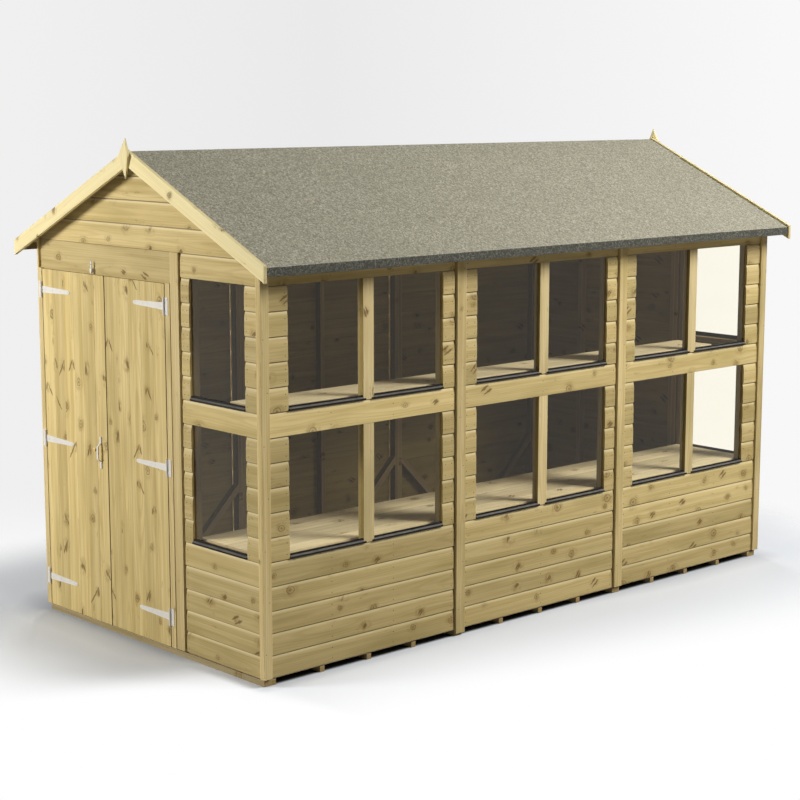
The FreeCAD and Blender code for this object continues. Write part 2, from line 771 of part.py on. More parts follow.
def roof_frame():
    """Rafters on both slopes, ridge board, collar ties, verge battens and eaves battens."""
    pieces = []
    rise = "rafter_depth / cos(roof_pitch)"
    lines = [f"({step} * panel_length / 2)" for step in range(2 - PANELS - 1, PANELS)]
    for side in ("left", "right"):
        for line in lines:
            pieces.append(slope(side, ("ridge_thick / 2", OUT_X), APEX, rise,
                                (f"{line} - stud_width / 2", f"{line} + stud_width / 2")))
        for span in ((f"-{OUT_Y}", f"-{ROOM_Y}"), (ROOM_Y, OUT_Y)):
            pieces.append(slope(side, ("0", OUT_X), APEX, rise, span))
        batten = "verge_batten / cos(roof_pitch)"
        inner = f"({EAVE_X} - eave_batten)"
        for span in ((f"-{VERGE_Y}", f"-{VERGE_Y} + verge_batten"), (f"{VERGE_Y} - verge_batten", VERGE_Y)):
            pieces.append(slope(side, ("0", inner), APEX, batten, span))
        heads = (under(inner), under(EAVE_X))
        run = (inner, EAVE_X)
        if side == "left":
            heads = heads[::-1]
            run = (f"-{EAVE_X}", f"-{inner}")
        pieces.append(slant(run, (DRIP_Z, DRIP_Z), heads, (f"-{VERGE_Y}", VERGE_Y)))
    ridge_top = under("ridge_thick / 2")
    pieces.append(block(("-ridge_thick / 2", "ridge_thick / 2"), (f"-{ROOM_Y}", ROOM_Y),
                        (f"{ridge_top} - ridge_depth", ridge_top)))
    collar_top = f"({APEX} - collar_drop)"
    reach = "((collar_drop - deck_thick) / tan(roof_pitch))"
    for joint in (f"(-{END_Y} + panel_length)", f"({END_Y} - panel_length)"):
        face = f"({joint} + stud_width / 2)"
        pieces.append(block((f"-{reach}", reach), (face, f"{face} + collar_thick"),
                            (f"{collar_top} - collar_depth", collar_top)))
    node("roof_frame", pieces)


def roof_boards(side):
    boards = []
    width = f"({EAVE_X} / {DECK_BOARDS})"
    for panel in range(PANELS):
        start, stop = panel_ends(panel)
        low = f"-{VERGE_Y}" if panel == 0 else start
        high = VERGE_Y if panel == PANELS - 1 else stop
        for number in range(DECK_BOARDS):
            run = (f"({number} * {width})", f"({number + 1} * {width})")
            boards.append(slope(side, run, f"({APEX} + {DECK_RISE})", DECK_RISE, (low, high)))
    node(f"roof_boards_{side}", boards)


def felt(side):
    """Felt of one slope: sheet, drip edge folded down at the eave, and folds under the bargeboards."""
    ends = (f"-{BARGE_Y}", BARGE_Y)
    sheet_piece = slope(side, ("0", DRIP_X), FELT_APEX, FELT_RISE, ends)
    drip_top = (f"{FELT_APEX} - {DRIP_X} * tan(roof_pitch)")
    drip_span = (EAVE_X, DRIP_X) if side == "right" else (f"-{DRIP_X}", f"-{EAVE_X}")
    drip = block(drip_span, ends, (DRIP_Z, f"{drip_top} - {FELT_RISE} / 2"))
    folds = [slope(side, ("0", EAVE_X), FELT_APEX, "verge_fold", span)
             for span in ((f"-{BARGE_Y}", f"-{VERGE_Y}"), (VERGE_Y, BARGE_Y))]
    node(f"felt_{side}", [fuse(sheet_piece, drip, *folds)])


def ridge_felt():
    halves = [slope(side, ("0", "ridge_felt"), f"({FELT_APEX} + {FELT_RISE})", FELT_RISE,
                    (f"-{BARGE_Y}", BARGE_Y)) for side in ("left", "right")]
    node("ridge_felt_cap", [fuse(*halves)])


def bargeboards(wall):
    span = (f"-({BARGE_Y} + barge_thick)", f"-{BARGE_Y}")
    if wall == "back":
        span = (BARGE_Y, f"({BARGE_Y} + barge_thick)")
    boards = [slope(side, ("0", BARGE_X), BARGE_APEX, "barge_depth / cos(roof_pitch)", span)
              for side in ("left", "right")]
    node(f"{wall}_bargeboards", boards)


def finial(wall):
    """A kite-shaped board that stands on the meeting point of two bargeboards."""
    face = f"({BARGE_Y} + barge_thick)"
    kite = extrude(finial_profile, "finial_thick")
    bind(kite, {"Placement.Base.y": face if wall == "back" else f"-{face} - finial_thick",
                "Placement.Base.z": f"{BARGE_APEX} - finial_drop - finial_below"})
    node(f"{wall}_finial", [kite])


# Bench and shelf


def support_lines(end):
    """Low edges of the bench or shelf supports: at both ends, every joint and every mullion."""
    inner = [f"({step} * panel_length / 2 - stud_width / 2)" for step in range(1 - PANELS, PANELS)]
    return [f"-{ROOM_Y}"] + inner + [f"({end} - stud_width)"]


def bench():
    ends = (f"-{ROOM_Y}", ROOM_Y)
    layer = (BENCH_UNDER, f"{BENCH_UNDER} + bench_thick")
    boards = []
    for number in range(BENCH_BOARDS):
        high = f"({ROOM_X} - {number} * (bench_board + bench_gap))"
        boards.append(block((f"{high} - bench_board", high), ends, layer))
    node("bench_boards", boards)
    bearer_foot = f"({BENCH_UNDER} - frame_depth)"
    ledger_foot = f"({bearer_foot} - stud_width)"
    pieces = [block((f"{ROOM_X} - stud_width", ROOM_X), ends, (ledger_foot, bearer_foot))]
    for low in support_lines(ROOM_Y):
        span = (low, f"{low} + stud_width")
        pieces.append(block((BENCH_EDGE, ROOM_X), span, (bearer_foot, BENCH_UNDER)))
        pieces.append(block((BENCH_EDGE, f"{BENCH_EDGE} + bench_leg"), span, (FLOOR, bearer_foot)))
    node("bench_frame", pieces)


def shelf():
    """Boards over the bench on brackets. They stop short of the back gable."""
    end = f"({ROOM_Y} - shelf_short)"
    ends = (f"-{ROOM_Y}", end)
    layer = (SHELF_UNDER, f"{SHELF_UNDER} + bench_thick")
    boards = []
    for number in range(SHELF_BOARDS):
        high = f"({ROOM_X} - {number} * (shelf_board + bench_gap))"
        boards.append(block((f"{high} - shelf_board", high), ends, layer))
    node("shelf_boards", boards)
    arm_foot = f"({SHELF_UNDER} - stud_width)"
    post_foot = f"({arm_foot} - shelf_bracket)"
    post_face = f"({ROOM_X} - stud_width)"
    arm_end = f"({ROOM_X} - {SHELF_BOARDS} * shelf_board)"
    pieces = []
    for low in support_lines(end):
        span = (low, f"{low} + stud_width")
        pieces.append(block((arm_end, ROOM_X), span, (arm_foot, SHELF_UNDER)))
        pieces.append(block((post_face, ROOM_X), span, (post_foot, arm_foot)))
        strut_start = f"({post_face} - shelf_bracket + stud_width)"
        pieces.append(slant((strut_start, post_face), (f"{arm_foot} - stud_width", post_foot),
                            (arm_foot, f"{post_foot} + stud_width"), span))
    node("shelf_brackets", pieces)


# Doors


def hinge_line(side):
    """Pivot of a leaf: middle of the gap beside it, in front of its face."""
    x = f"({LEFT_EDGE} - door_gap / 2)" if side == "left" else f"({RIGHT_EDGE} + door_gap / 2)"
    return x, f"(-{DOOR_FACE} - knuckle_stand)"


def leaf(side, low, high, count):
    """Upright boards of a leaf, its three ledges and its two braces."""
    width = f"(({high} - {low}) / {count})"
    up = ("clad_bottom", DOOR_TOP)
    boards = [wall_block("front", (f"({low} + {number} * {width})", f"({low} + {number + 1} * {width})"),
                         (FACE_Y, DOOR_FACE), up) for number in range(count)]
    span = (f"(-{ROOM_X} + door_post + ledge_clearance)", f"({high} - ledge_meeting_inset)")
    if side == "right":
        span = (f"({low} + ledge_meeting_inset)", f"({high} - door_stop - ledge_clearance)")
    depth = (f"({FACE_Y} - ledge_thick)", FACE_Y)
    ledges = [wall_block("front", span, depth, (f"{z} - ledge_height / 2", f"{z} + ledge_height / 2"))
              for z in HINGES]
    for lower, upper in zip(HINGES, HINGES[1:]):
        foot = [f"({lower} + ledge_height / 2)", f"({upper} - ledge_height / 2 - brace_height)"]
        if side == "right":
            foot.reverse()
        top = [f"({z} + brace_height)" for z in foot]
        ledges.append(slant(span, foot, top, (f"-{depth[1]}", f"-{depth[0]}")))
    return boards, ledges


def strap(side, z):
    """Tapered hinge strap with a pointed nose, a knuckle at its root and a bore for the pin."""
    x, y = hinge_line(side)
    slab = (f"-{DOOR_FACE} - strap_thick", f"-{DOOR_FACE}")
    sign = "+" if side == "left" else "-"
    stations = [x, f"({x} {sign} strap_length)", f"({x} {sign} (strap_length + strap_nose))"]
    feet = [f"({z} - {width} / 2)" for width in ("strap_root", "strap_tip", "strap_point")]
    tops = [f"({z} + {width} / 2)" for width in ("strap_root", "strap_tip", "strap_point")]
    if side == "right":
        stations, feet, tops = stations[::-1], feet[::-1], tops[::-1]
    plates = [slant(stations[i:i + 2], feet[i:i + 2], tops[i:i + 2], slab) for i in range(2)]
    foot = f"{z} - strap_root / 2"
    knuckle = rod((x, y, foot), "knuckle_radius", "strap_root")
    bore = rod((x, y, foot), "pin_radius + pin_clearance", "strap_root")
    return cut(fuse(*plates, knuckle), bore)


def hinge_plate(side, z):
    """Hinge plate on the strip beside the leaf: knuckles above and below that of the strap, and the pin."""
    x, y = hinge_line(side)
    slab = (DOOR_FACE, f"{DOOR_FACE} + strap_thick")
    reach = "(knuckle_radius + knuckle_gap)"
    edge, outer = f"({x} - {reach})", f"({x} - {reach} - hinge_plate_width)"
    span, web = (outer, edge), (edge, x)
    if side == "right":
        edge, outer = f"({x} + {reach})", f"({x} + {reach} + hinge_plate_width)"
        span, web = (edge, outer), (x, edge)
    half = "(hinge_plate_height / 2)"
    inner = "(strap_root / 2 + knuckle_gap)"
    length = f"({half} - {inner})"
    pieces = [wall_block("front", span, slab, (f"{z} - {half}", f"{z} + {half}")),
              rod((x, y, f"{z} - {inner}"), "pin_radius", f"2 * {inner}")]
    for low in (f"({z} - {half})", f"({z} + {inner})"):
        pieces.append(wall_block("front", web, slab, (low, f"{low} + {length}")))
        pieces.append(rod((x, y, low), "knuckle_radius", length))
    return fuse(*pieces)


def lock_bore():
    """The hole for the lock plug, through boards and ledge."""
    start = (LOCK_X, f"-{DOOR_FACE} - plug_stand", LOCK_Z)
    return rod(start, "plug_radius + plug_clearance", "leaf_thick + ledge_thick + 2 * plug_stand", "y")


def doors():
    left_boards, left_ledges = leaf("left", LEFT_EDGE, MEETING, LEFT_LEAF_BOARDS)
    right_boards, right_ledges = leaf("right", RIGHT_START, RIGHT_EDGE, RIGHT_LEAF_BOARDS)
    left_boards = [cut(board, lock_bore()) for board in left_boards]
    left_ledges[1] = cut(left_ledges[1], lock_bore())
    node("left_door_boards", left_boards)
    node("left_door_ledges", left_ledges)
    node("right_door_boards", right_boards)
    node("right_door_ledges", right_ledges)
    for side in ("left", "right"):
        node(f"{side}_door_straps", [strap(side, z) for z in HINGES])
    pairs = [(side, z) for side in ("left", "right") for z in HINGES]
    node("hinge_plates", [hinge_plate(*pair) for pair in pairs])


def handle():
    """Bow handle bent from flat bar: two feet on the leaf, two slanting legs and a grip."""
    middle = f"({MEETING} - handle_inset)"
    side = (f"{middle} - handle_width / 2", f"{middle} + handle_width / 2")
    foot = (f"-{DOOR_FACE} - handle_thick", f"-{DOOR_FACE}")
    grip = (f"-{DOOR_FACE} - handle_stand - handle_thick", f"-{DOOR_FACE} - handle_stand")
    z = [f"({HINGE_MID} - handle_drop)"]
    for step in ("handle_foot", "handle_leg", "handle_grip", "handle_leg", "handle_foot"):
        z.append(f"({z[-1]} + {step})")
    pieces = [block(side, foot, (z[0], z[1])),
              block(side, grip, (z[2], z[3])),
              block(side, foot, (z[4], z[5])),
              slant((z[1], z[2]), (foot[0], grip[0]), (foot[1], grip[1]), side, "zy"),
              slant((z[3], z[4]), (grip[0], foot[0]), (grip[1], foot[1]), side, "zy")]
    node("door_handle", [fuse(*pieces)])


def lock():
    """Rim lock: case on the left leaf, turning plug through it, sliding bolt, and keep on the right leaf."""
    inner = f"({FACE_Y} - ledge_thick)"
    case_end = f"({MEETING} - ledge_meeting_inset)"
    case_x = (f"({case_end} - lock_case_width)", case_end)
    case_y = (f"-{inner}", f"(-{inner} + lock_case_depth)")
    case_z = (f"({LOCK_Z} - lock_case_height / 2)", f"({LOCK_Z} + lock_case_height / 2)")
    bolt_back = f"(-{inner} + lock_case_wall + slide_clearance)"
    bolt_y = (bolt_back, f"({bolt_back} + lock_bolt_thick)")
    bolt_z = (f"({LOCK_Z} - lock_bolt_width / 2)", f"({LOCK_Z} + lock_bolt_width / 2)")
    bolt_x = (f"({case_end} - lock_bolt_length)", case_end)
    gap = "slide_clearance"
    channel = block((f"{bolt_x[0]} - {gap}", f"{case_end} + lock_case_wall"),
                    (f"{bolt_y[0]} - {gap}", f"{bolt_y[1]} + {gap}"),
                    (f"{bolt_z[0]} - {gap}", f"{bolt_z[1]} + {gap}"))
    node("lock_case", [cut(block(case_x, case_y, case_z), channel)])
    plug_length = "plug_stand + leaf_thick + ledge_thick - slide_clearance"
    node("lock_plug", [rod((LOCK_X, f"-{DOOR_FACE} - plug_stand", LOCK_Z), "plug_radius", plug_length, "y")])
    node("lock_bolt", [block(bolt_x, bolt_y, bolt_z)])
    keep_start = f"({RIGHT_START} + ledge_meeting_inset)"
    keep = block((keep_start, f"{keep_start} + lock_keep_length"), case_y, case_z)
    pocket = block((f"{keep_start} - lock_case_wall", f"{keep_start} + lock_keep_length - lock_case_wall"),
                   (f"{bolt_y[0]} - 2 * {gap}", f"{bolt_y[1]} + 2 * {gap}"),
                   (f"{bolt_z[0]} - 2 * {gap}", f"{bolt_z[1]} + 2 * {gap}"))
    node("lock_keep", [cut(keep, pocket)])


def top_bolt():
    """Flat bolt that slides down from its bracket on the header, in front of the left leaf's top edge."""
    gap = "slide_clearance"
    middle = f"({MEETING} - bolt_inset)"
    bar_x = (f"{middle} - bolt_bar_width / 2", f"{middle} + bolt_bar_width / 2")
    bar_y = (f"(-{DOOR_FACE} - bolt_door_gap - bolt_bar_thick)", f"(-{DOOR_FACE} - bolt_door_gap)")
    bar_z = (f"({DOOR_TOP} + bolt_lift)", f"({DOOR_TOP} + bolt_lift + bolt_bar_length)")
    front = f"({bar_y[0]} - {gap} - bolt_wall)"
    bracket_z = (f"({bar_z[0]} + bolt_lift)", f"({bar_z[0]} + bolt_lift + bolt_bracket_height)")
    bracket = block((f"{middle} - bolt_bracket_width / 2", f"{middle} + bolt_bracket_width / 2"),
                    (front, f"-{FACE_Y}"), bracket_z)
    channel = block((f"{bar_x[0]} - {gap}", f"{bar_x[1]} + {gap}"),
                    (f"{bar_y[0]} - {gap}", f"{bar_y[1]} + {gap}"),
                    (f"{bracket_z[0]} - bolt_wall", f"{bracket_z[1]} + bolt_wall"))
    tab_x = (f"({middle} - bolt_tab_width / 2)", f"({middle} + bolt_tab_width / 2)")
    tab_low = f"({bracket_z[1]} + bolt_travel + {gap})"
    tab_z = (tab_low, f"({tab_low} + bolt_tab_width)")
    node("bolt_bracket", [cut(bracket, channel)])
    tab = block(tab_x, (f"{bar_y[0]} - bolt_tab_length", bar_y[1]), tab_z)
    node("top_bolt", [fuse(block(bar_x, bar_y, bar_z), tab)])


def build():
    floor()
    sill_pieces = []
    for panel in range(PANELS):
        sill_pieces += window_panel(panel)
        plain_panel(panel)
    front_gable()
    back_gable()
    gable_panes = []
    for wall in ("front", "back"):
        gable_panes += glazing(wall, WINDOW_LOW, WINDOW_HIGH, False)
        sill_pieces += sills(wall, WINDOW_LOW, WINDOW_HIGH, False)
    node("gable_glazing", gable_panes)
    node("window_sills", sill_pieces)
    corners_and_strips()
    joint_strips()
    door_linings()
    roof_frame()
    for side in ("left", "right"):
        roof_boards(side)
        felt(side)
    ridge_felt()
    for wall in ("front", "back"):
        bargeboards(wall)
        finial(wall)
    bench()
    shelf()
    doors()
    handle()
    lock()
    top_bolt()


def check_and_export():
    doc.recompute()
    for item in doc.Objects:
        if "Invalid" in item.State or "Error" in item.State:
            raise RuntimeError(f"{item.Name} failed: {item.State}")
    os.makedirs("parts", exist_ok=True)
    for group in nodes:
        if group.Shape.isNull() or not group.Shape.isValid():
            raise RuntimeError(f"{group.Label} has no valid shape")
    for group in nodes:
        group.Shape.exportStep(f"parts/{group.Label}.step")


build()
check_and_export()
print(len(nodes), "sub-parts")
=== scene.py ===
import json
import math
import random

import bmesh
import bpy
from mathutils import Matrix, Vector


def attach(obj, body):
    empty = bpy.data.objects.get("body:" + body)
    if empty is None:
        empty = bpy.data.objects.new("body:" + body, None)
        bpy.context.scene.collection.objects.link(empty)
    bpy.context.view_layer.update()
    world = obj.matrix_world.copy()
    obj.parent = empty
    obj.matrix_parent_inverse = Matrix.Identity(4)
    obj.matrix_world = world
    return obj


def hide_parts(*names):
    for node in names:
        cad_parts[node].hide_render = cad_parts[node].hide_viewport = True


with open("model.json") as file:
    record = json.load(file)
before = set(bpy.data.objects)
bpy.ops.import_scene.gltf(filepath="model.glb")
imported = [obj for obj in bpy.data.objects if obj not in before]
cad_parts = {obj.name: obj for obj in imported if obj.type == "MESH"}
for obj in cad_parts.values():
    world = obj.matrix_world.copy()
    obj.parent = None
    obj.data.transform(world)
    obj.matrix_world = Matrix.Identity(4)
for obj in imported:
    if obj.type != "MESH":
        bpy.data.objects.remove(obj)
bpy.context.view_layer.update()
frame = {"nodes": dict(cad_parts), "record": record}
slot_of = {part["node"]: part["material_slot"] for part in frame["record"]["subparts"]}
body_of = {}
for body, members in frame["record"]["behaviour"]["bodies"].items():
    for member in members:
        body_of[member] = body


def srgb(red, green, blue):
    """A colour given as 0 to 255 on screen, as the renderer's linear values."""
    values = []
    for level in (red, green, blue):
        share = level / 255
        values.append(share / 12.92 if share <= 0.04045 else ((share + 0.055) / 1.055) ** 2.4)
    return (*values, 1.0)


def grey(level):
    """A grey of the given linear value."""
    return (level, level, level, 1.0)


def new_piece(name, points, faces, material):
    """An object of one mesh and one material, linked to the scene."""
    mesh = bpy.data.meshes.new(name)
    mesh.from_pydata(points, [], faces)
    mesh.materials.append(material)
    piece = bpy.data.objects.new(name, mesh)
    bpy.context.scene.collection.objects.link(piece)
    return piece


# Shaders


class Shader:
    """The node tree of a material or a world, filled by short calls that give back sockets."""

    def __init__(self, owner):
        owner.use_nodes = True
        self.owner = owner
        self.graph = owner.node_tree
        self.graph.nodes.clear()

    def add(self, kind, **settings):
        node = self.graph.nodes.new("ShaderNode" + kind)
        for key, value in settings.items():
            setattr(node, key, value)
        return node

    def feed(self, socket, value):
        if isinstance(value, bpy.types.NodeSocket):
            self.graph.links.new(value, socket)
        else:
            socket.default_value = value

    def math(self, operation, first, second=0.0):
        node = self.add("Math", operation=operation)
        self.feed(node.inputs[0], first)
        self.feed(node.inputs[1], second)
        return node.outputs[0]

    def plus(self, first, second):
        return self.math("ADD", first, second)

    def minus(self, first, second):
        return self.math("SUBTRACT", first, second)

    def times(self, first, second):
        return self.math("MULTIPLY", first, second)

    def over(self, first, second):
        return self.math("DIVIDE", first, second)

    def square(self, value):
        return self.math("POWER", value, 2.0)

    def vector(self, operation, first, second=(0.0, 0.0, 0.0)):
        node = self.add("VectorMath", operation=operation)
        self.feed(node.inputs[0], first)
        self.feed(node.inputs[1], second)
        return node.outputs["Value" if operation in ("DOT_PRODUCT", "LENGTH") else "Vector"]

    def scaled(self, vector, factors):
        return self.vector("MULTIPLY", vector, factors)

    def split(self, vector):
        node = self.add("SeparateXYZ")
        self.feed(node.inputs[0], vector)
        return node.outputs

    def join(self, x, y, z):
        node = self.add("CombineXYZ")
        for socket, value in zip(node.inputs, (x, y, z)):
            self.feed(socket, value)
        return node.outputs[0]

    def attribute(self, name, output="Fac"):
        return self.add("Attribute", attribute_name=name).outputs[output]

    def place(self):
        return self.add("TexCoord").outputs["Object"]

    def up(self):
        """How far a face looks up: 1 for a floor, 0 for a wall, -1 for an underside."""
        return self.split(self.add("NewGeometry").outputs["Normal"])[2]

    def seen(self):
        """1 where the camera, a mirror or glass looks, and 0 for light that bounces."""
        path = self.add("LightPath").outputs
        reflected = self.math("MAXIMUM", path["Is Glossy Ray"], path["Is Transmission Ray"])
        return self.math("MAXIMUM", path["Is Camera Ray"], reflected)

    def noise(self, vector, scale=1.0, detail=2.0, roughness=0.5, output=0):
        node = self.add("TexNoise")
        self.feed(node.inputs["Vector"], vector)
        self.feed(node.inputs["Scale"], scale)
        self.feed(node.inputs["Detail"], detail)
        self.feed(node.inputs["Roughness"], roughness)
        return node.outputs[output]

    def cells(self, vector, scale=1.0, dimensions="3D", scatter=1.0):
        node = self.add("TexVoronoi", voronoi_dimensions=dimensions)
        self.feed(node.inputs["Vector"], vector)
        self.feed(node.inputs["Scale"], scale)
        self.feed(node.inputs["Randomness"], scatter)
        return node.outputs

    def span(self, value, low, high, start=0.0, end=1.0, kind="SMOOTHSTEP"):
        """The value carried from low and high to start and end, and held there beyond them."""
        node = self.add("MapRange", clamp=True, interpolation_type=kind)
        for socket, item in zip(node.inputs, (value, low, high, start, end)):
            self.feed(socket, item)
        return node.outputs[0]

    def ramp(self, value, stops):
        node = self.add("ValToRGB")
        points = node.color_ramp.elements
        while len(points) < len(stops):
            points.new(0.5)
        for point, (place, colour) in zip(points, stops):
            point.position = place
            point.color = colour
        self.feed(node.inputs[0], value)
        return node.outputs[0]

    def mix(self, share, first, second, blend="MIX"):
        node = self.add("Mix", data_type="RGBA", blend_type=blend)
        self.feed(node.inputs[0], share)
        self.feed(node.inputs[6], first)
        self.feed(node.inputs[7], second)
        return node.outputs[2]

    def blend(self, share, first, second):
        node = self.add("MixShader")
        self.feed(node.inputs[0], share)
        self.feed(node.inputs[1], first)
        self.feed(node.inputs[2], second)
        return node.outputs[0]

    def bump(self, height, strength, distance):
        node = self.add("Bump")
        self.feed(node.inputs["Strength"], strength)
        self.feed(node.inputs["Distance"], distance)
        self.feed(node.inputs["Height"], height)
        return node.outputs[0]

    def principled(self, **values):
        node = self.add("BsdfPrincipled")
        for key, value in values.items():
            self.feed(node.inputs[key.replace("_", " ")], value)
        return node.outputs[0]

    def end(self, shader, kind="OutputMaterial"):
        self.feed(self.add(kind).inputs["Surface"], shader)
        return self.owner


KNOT_PITCH = (0.2, 0.13)
KNOT_SHAKE = (0.013, 0.013, 0.0)
RINGS_ROUND_KNOT = 6.5
YEAR_RINGS = 820.0
RING_SWAY = 30.0
RING_BROWN = srgb(162, 132, 76)
MOSS = srgb(160, 144, 84)
KNOT_STAIN = srgb(144, 118, 62)
SCAR_BROWN = srgb(138, 112, 60)
KNOT_HEART = srgb(150, 116, 62)
KNOT_RING = srgb(98, 74, 38)
KNOT_SPIKE = srgb(104, 78, 38)
WORN_EDGE = srgb(244, 228, 180)
END_GRAIN = srgb(168, 138, 84)
PAINTED_CROWN_HIGHLIGHT = srgb(255, 240, 190)
PAINTED_UNDERSIDE_SHADE = srgb(84, 64, 32)
SAWN_BACK_AND_PAINTED_SHADE = srgb(180, 175, 146)
PAINTED_GAP_SHADE = srgb(82, 58, 26)
BOARD_TONE_AND_SHADE = [(0.0, grey(0.82)), (0.55, grey(0.97)), (0.8, grey(1.05)), (1.0, grey(1.22))]


def spike_axes(tree, ahead, aside, green, blue, forked):
    """Where a point lies along and beside the two spikes of a knot that is cut along the grain."""
    if forked:
        turned = tree.plus(aside, tree.times(ahead, tree.span(blue, 0.0, 0.5, -0.35, 0.35)))
        side = tree.minus(tree.math("ABSOLUTE", turned), tree.span(green, 0.0, 1.0, 0.014, 0.004))
        slope = tree.plus(side, tree.times(ahead, tree.span(green, 0.0, 1.0, 0.45, 0.1)))
        run = tree.plus(ahead, tree.times(turned, tree.span(blue, 0.0, 0.5, -1.0, 1.0)))
    else:
        slant = tree.times(ahead, tree.span(green, 0.0, 1.0, 0.4, 1.1))
        lean = tree.plus(tree.times(aside, 0.8), slant)
        slope = tree.minus(tree.math("ABSOLUTE", lean), tree.span(blue, 0.0, 0.5, 0.004, 0.012))
        run = tree.minus(aside, tree.times(ahead, 0.8))
    return run, slope


def knot_marks(tree, grain, knots, size, forked):
    """Halo, disc, rings and spikes of the knots in a board, and how far they bend the grain aside."""
    place = tree.scaled(grain, (1 / KNOT_PITCH[0], 1 / KNOT_PITCH[1], 0.0))
    cell = tree.cells(place, dimensions="2D", scatter=0.75)
    red, green, blue = tree.split(cell["Color"])
    away = tree.scaled(tree.vector("SUBTRACT", place, cell["Position"]), (*KNOT_PITCH, 0.0))
    shake = tree.vector("SUBTRACT", tree.noise(grain, 55.0, detail=3.0, output=1), (0.5, 0.5, 0.5))
    away = tree.vector("ADD", away, tree.scaled(shake, KNOT_SHAKE))
    ahead, aside = tree.split(away)[:2]
    present = tree.math("GREATER_THAN", red, 1.0 - knots)
    round_knot = tree.times(present, tree.math("GREATER_THAN", blue, 0.5))
    grown = tree.span(green, 0.0, 1.0, 0.55 * size, size)
    reach = tree.over(tree.vector("LENGTH", tree.scaled(away, (0.8, 1.0, 0.0))), grown)
    halo = tree.times(tree.span(reach, 3.6, 0.4), present)
    disc = tree.times(tree.span(reach, 1.25, 0.8), round_knot)
    swirl = tree.span(tree.math("SINE", tree.times(reach, RINGS_ROUND_KNOT)), 0.2, 1.0)
    rings = tree.times(tree.times(swirl, tree.span(reach, 2.2, 1.0)), round_knot)
    run, slope = spike_axes(tree, ahead, aside, green, blue, forked)
    stretch = tree.over(run, tree.span(blue, 0.0, 0.5, 0.022, 0.042))
    thin = tree.over(slope, tree.span(stretch, -1.0, 1.0, 0.0085, 0.003))
    spikes = tree.span(tree.plus(tree.square(stretch), tree.square(thin)), 1.2, 0.35)
    spikes = tree.times(spikes, tree.minus(present, round_knot))
    bend = tree.times(tree.times(aside, halo), -0.75)
    return halo, disc, rings, spikes, bend


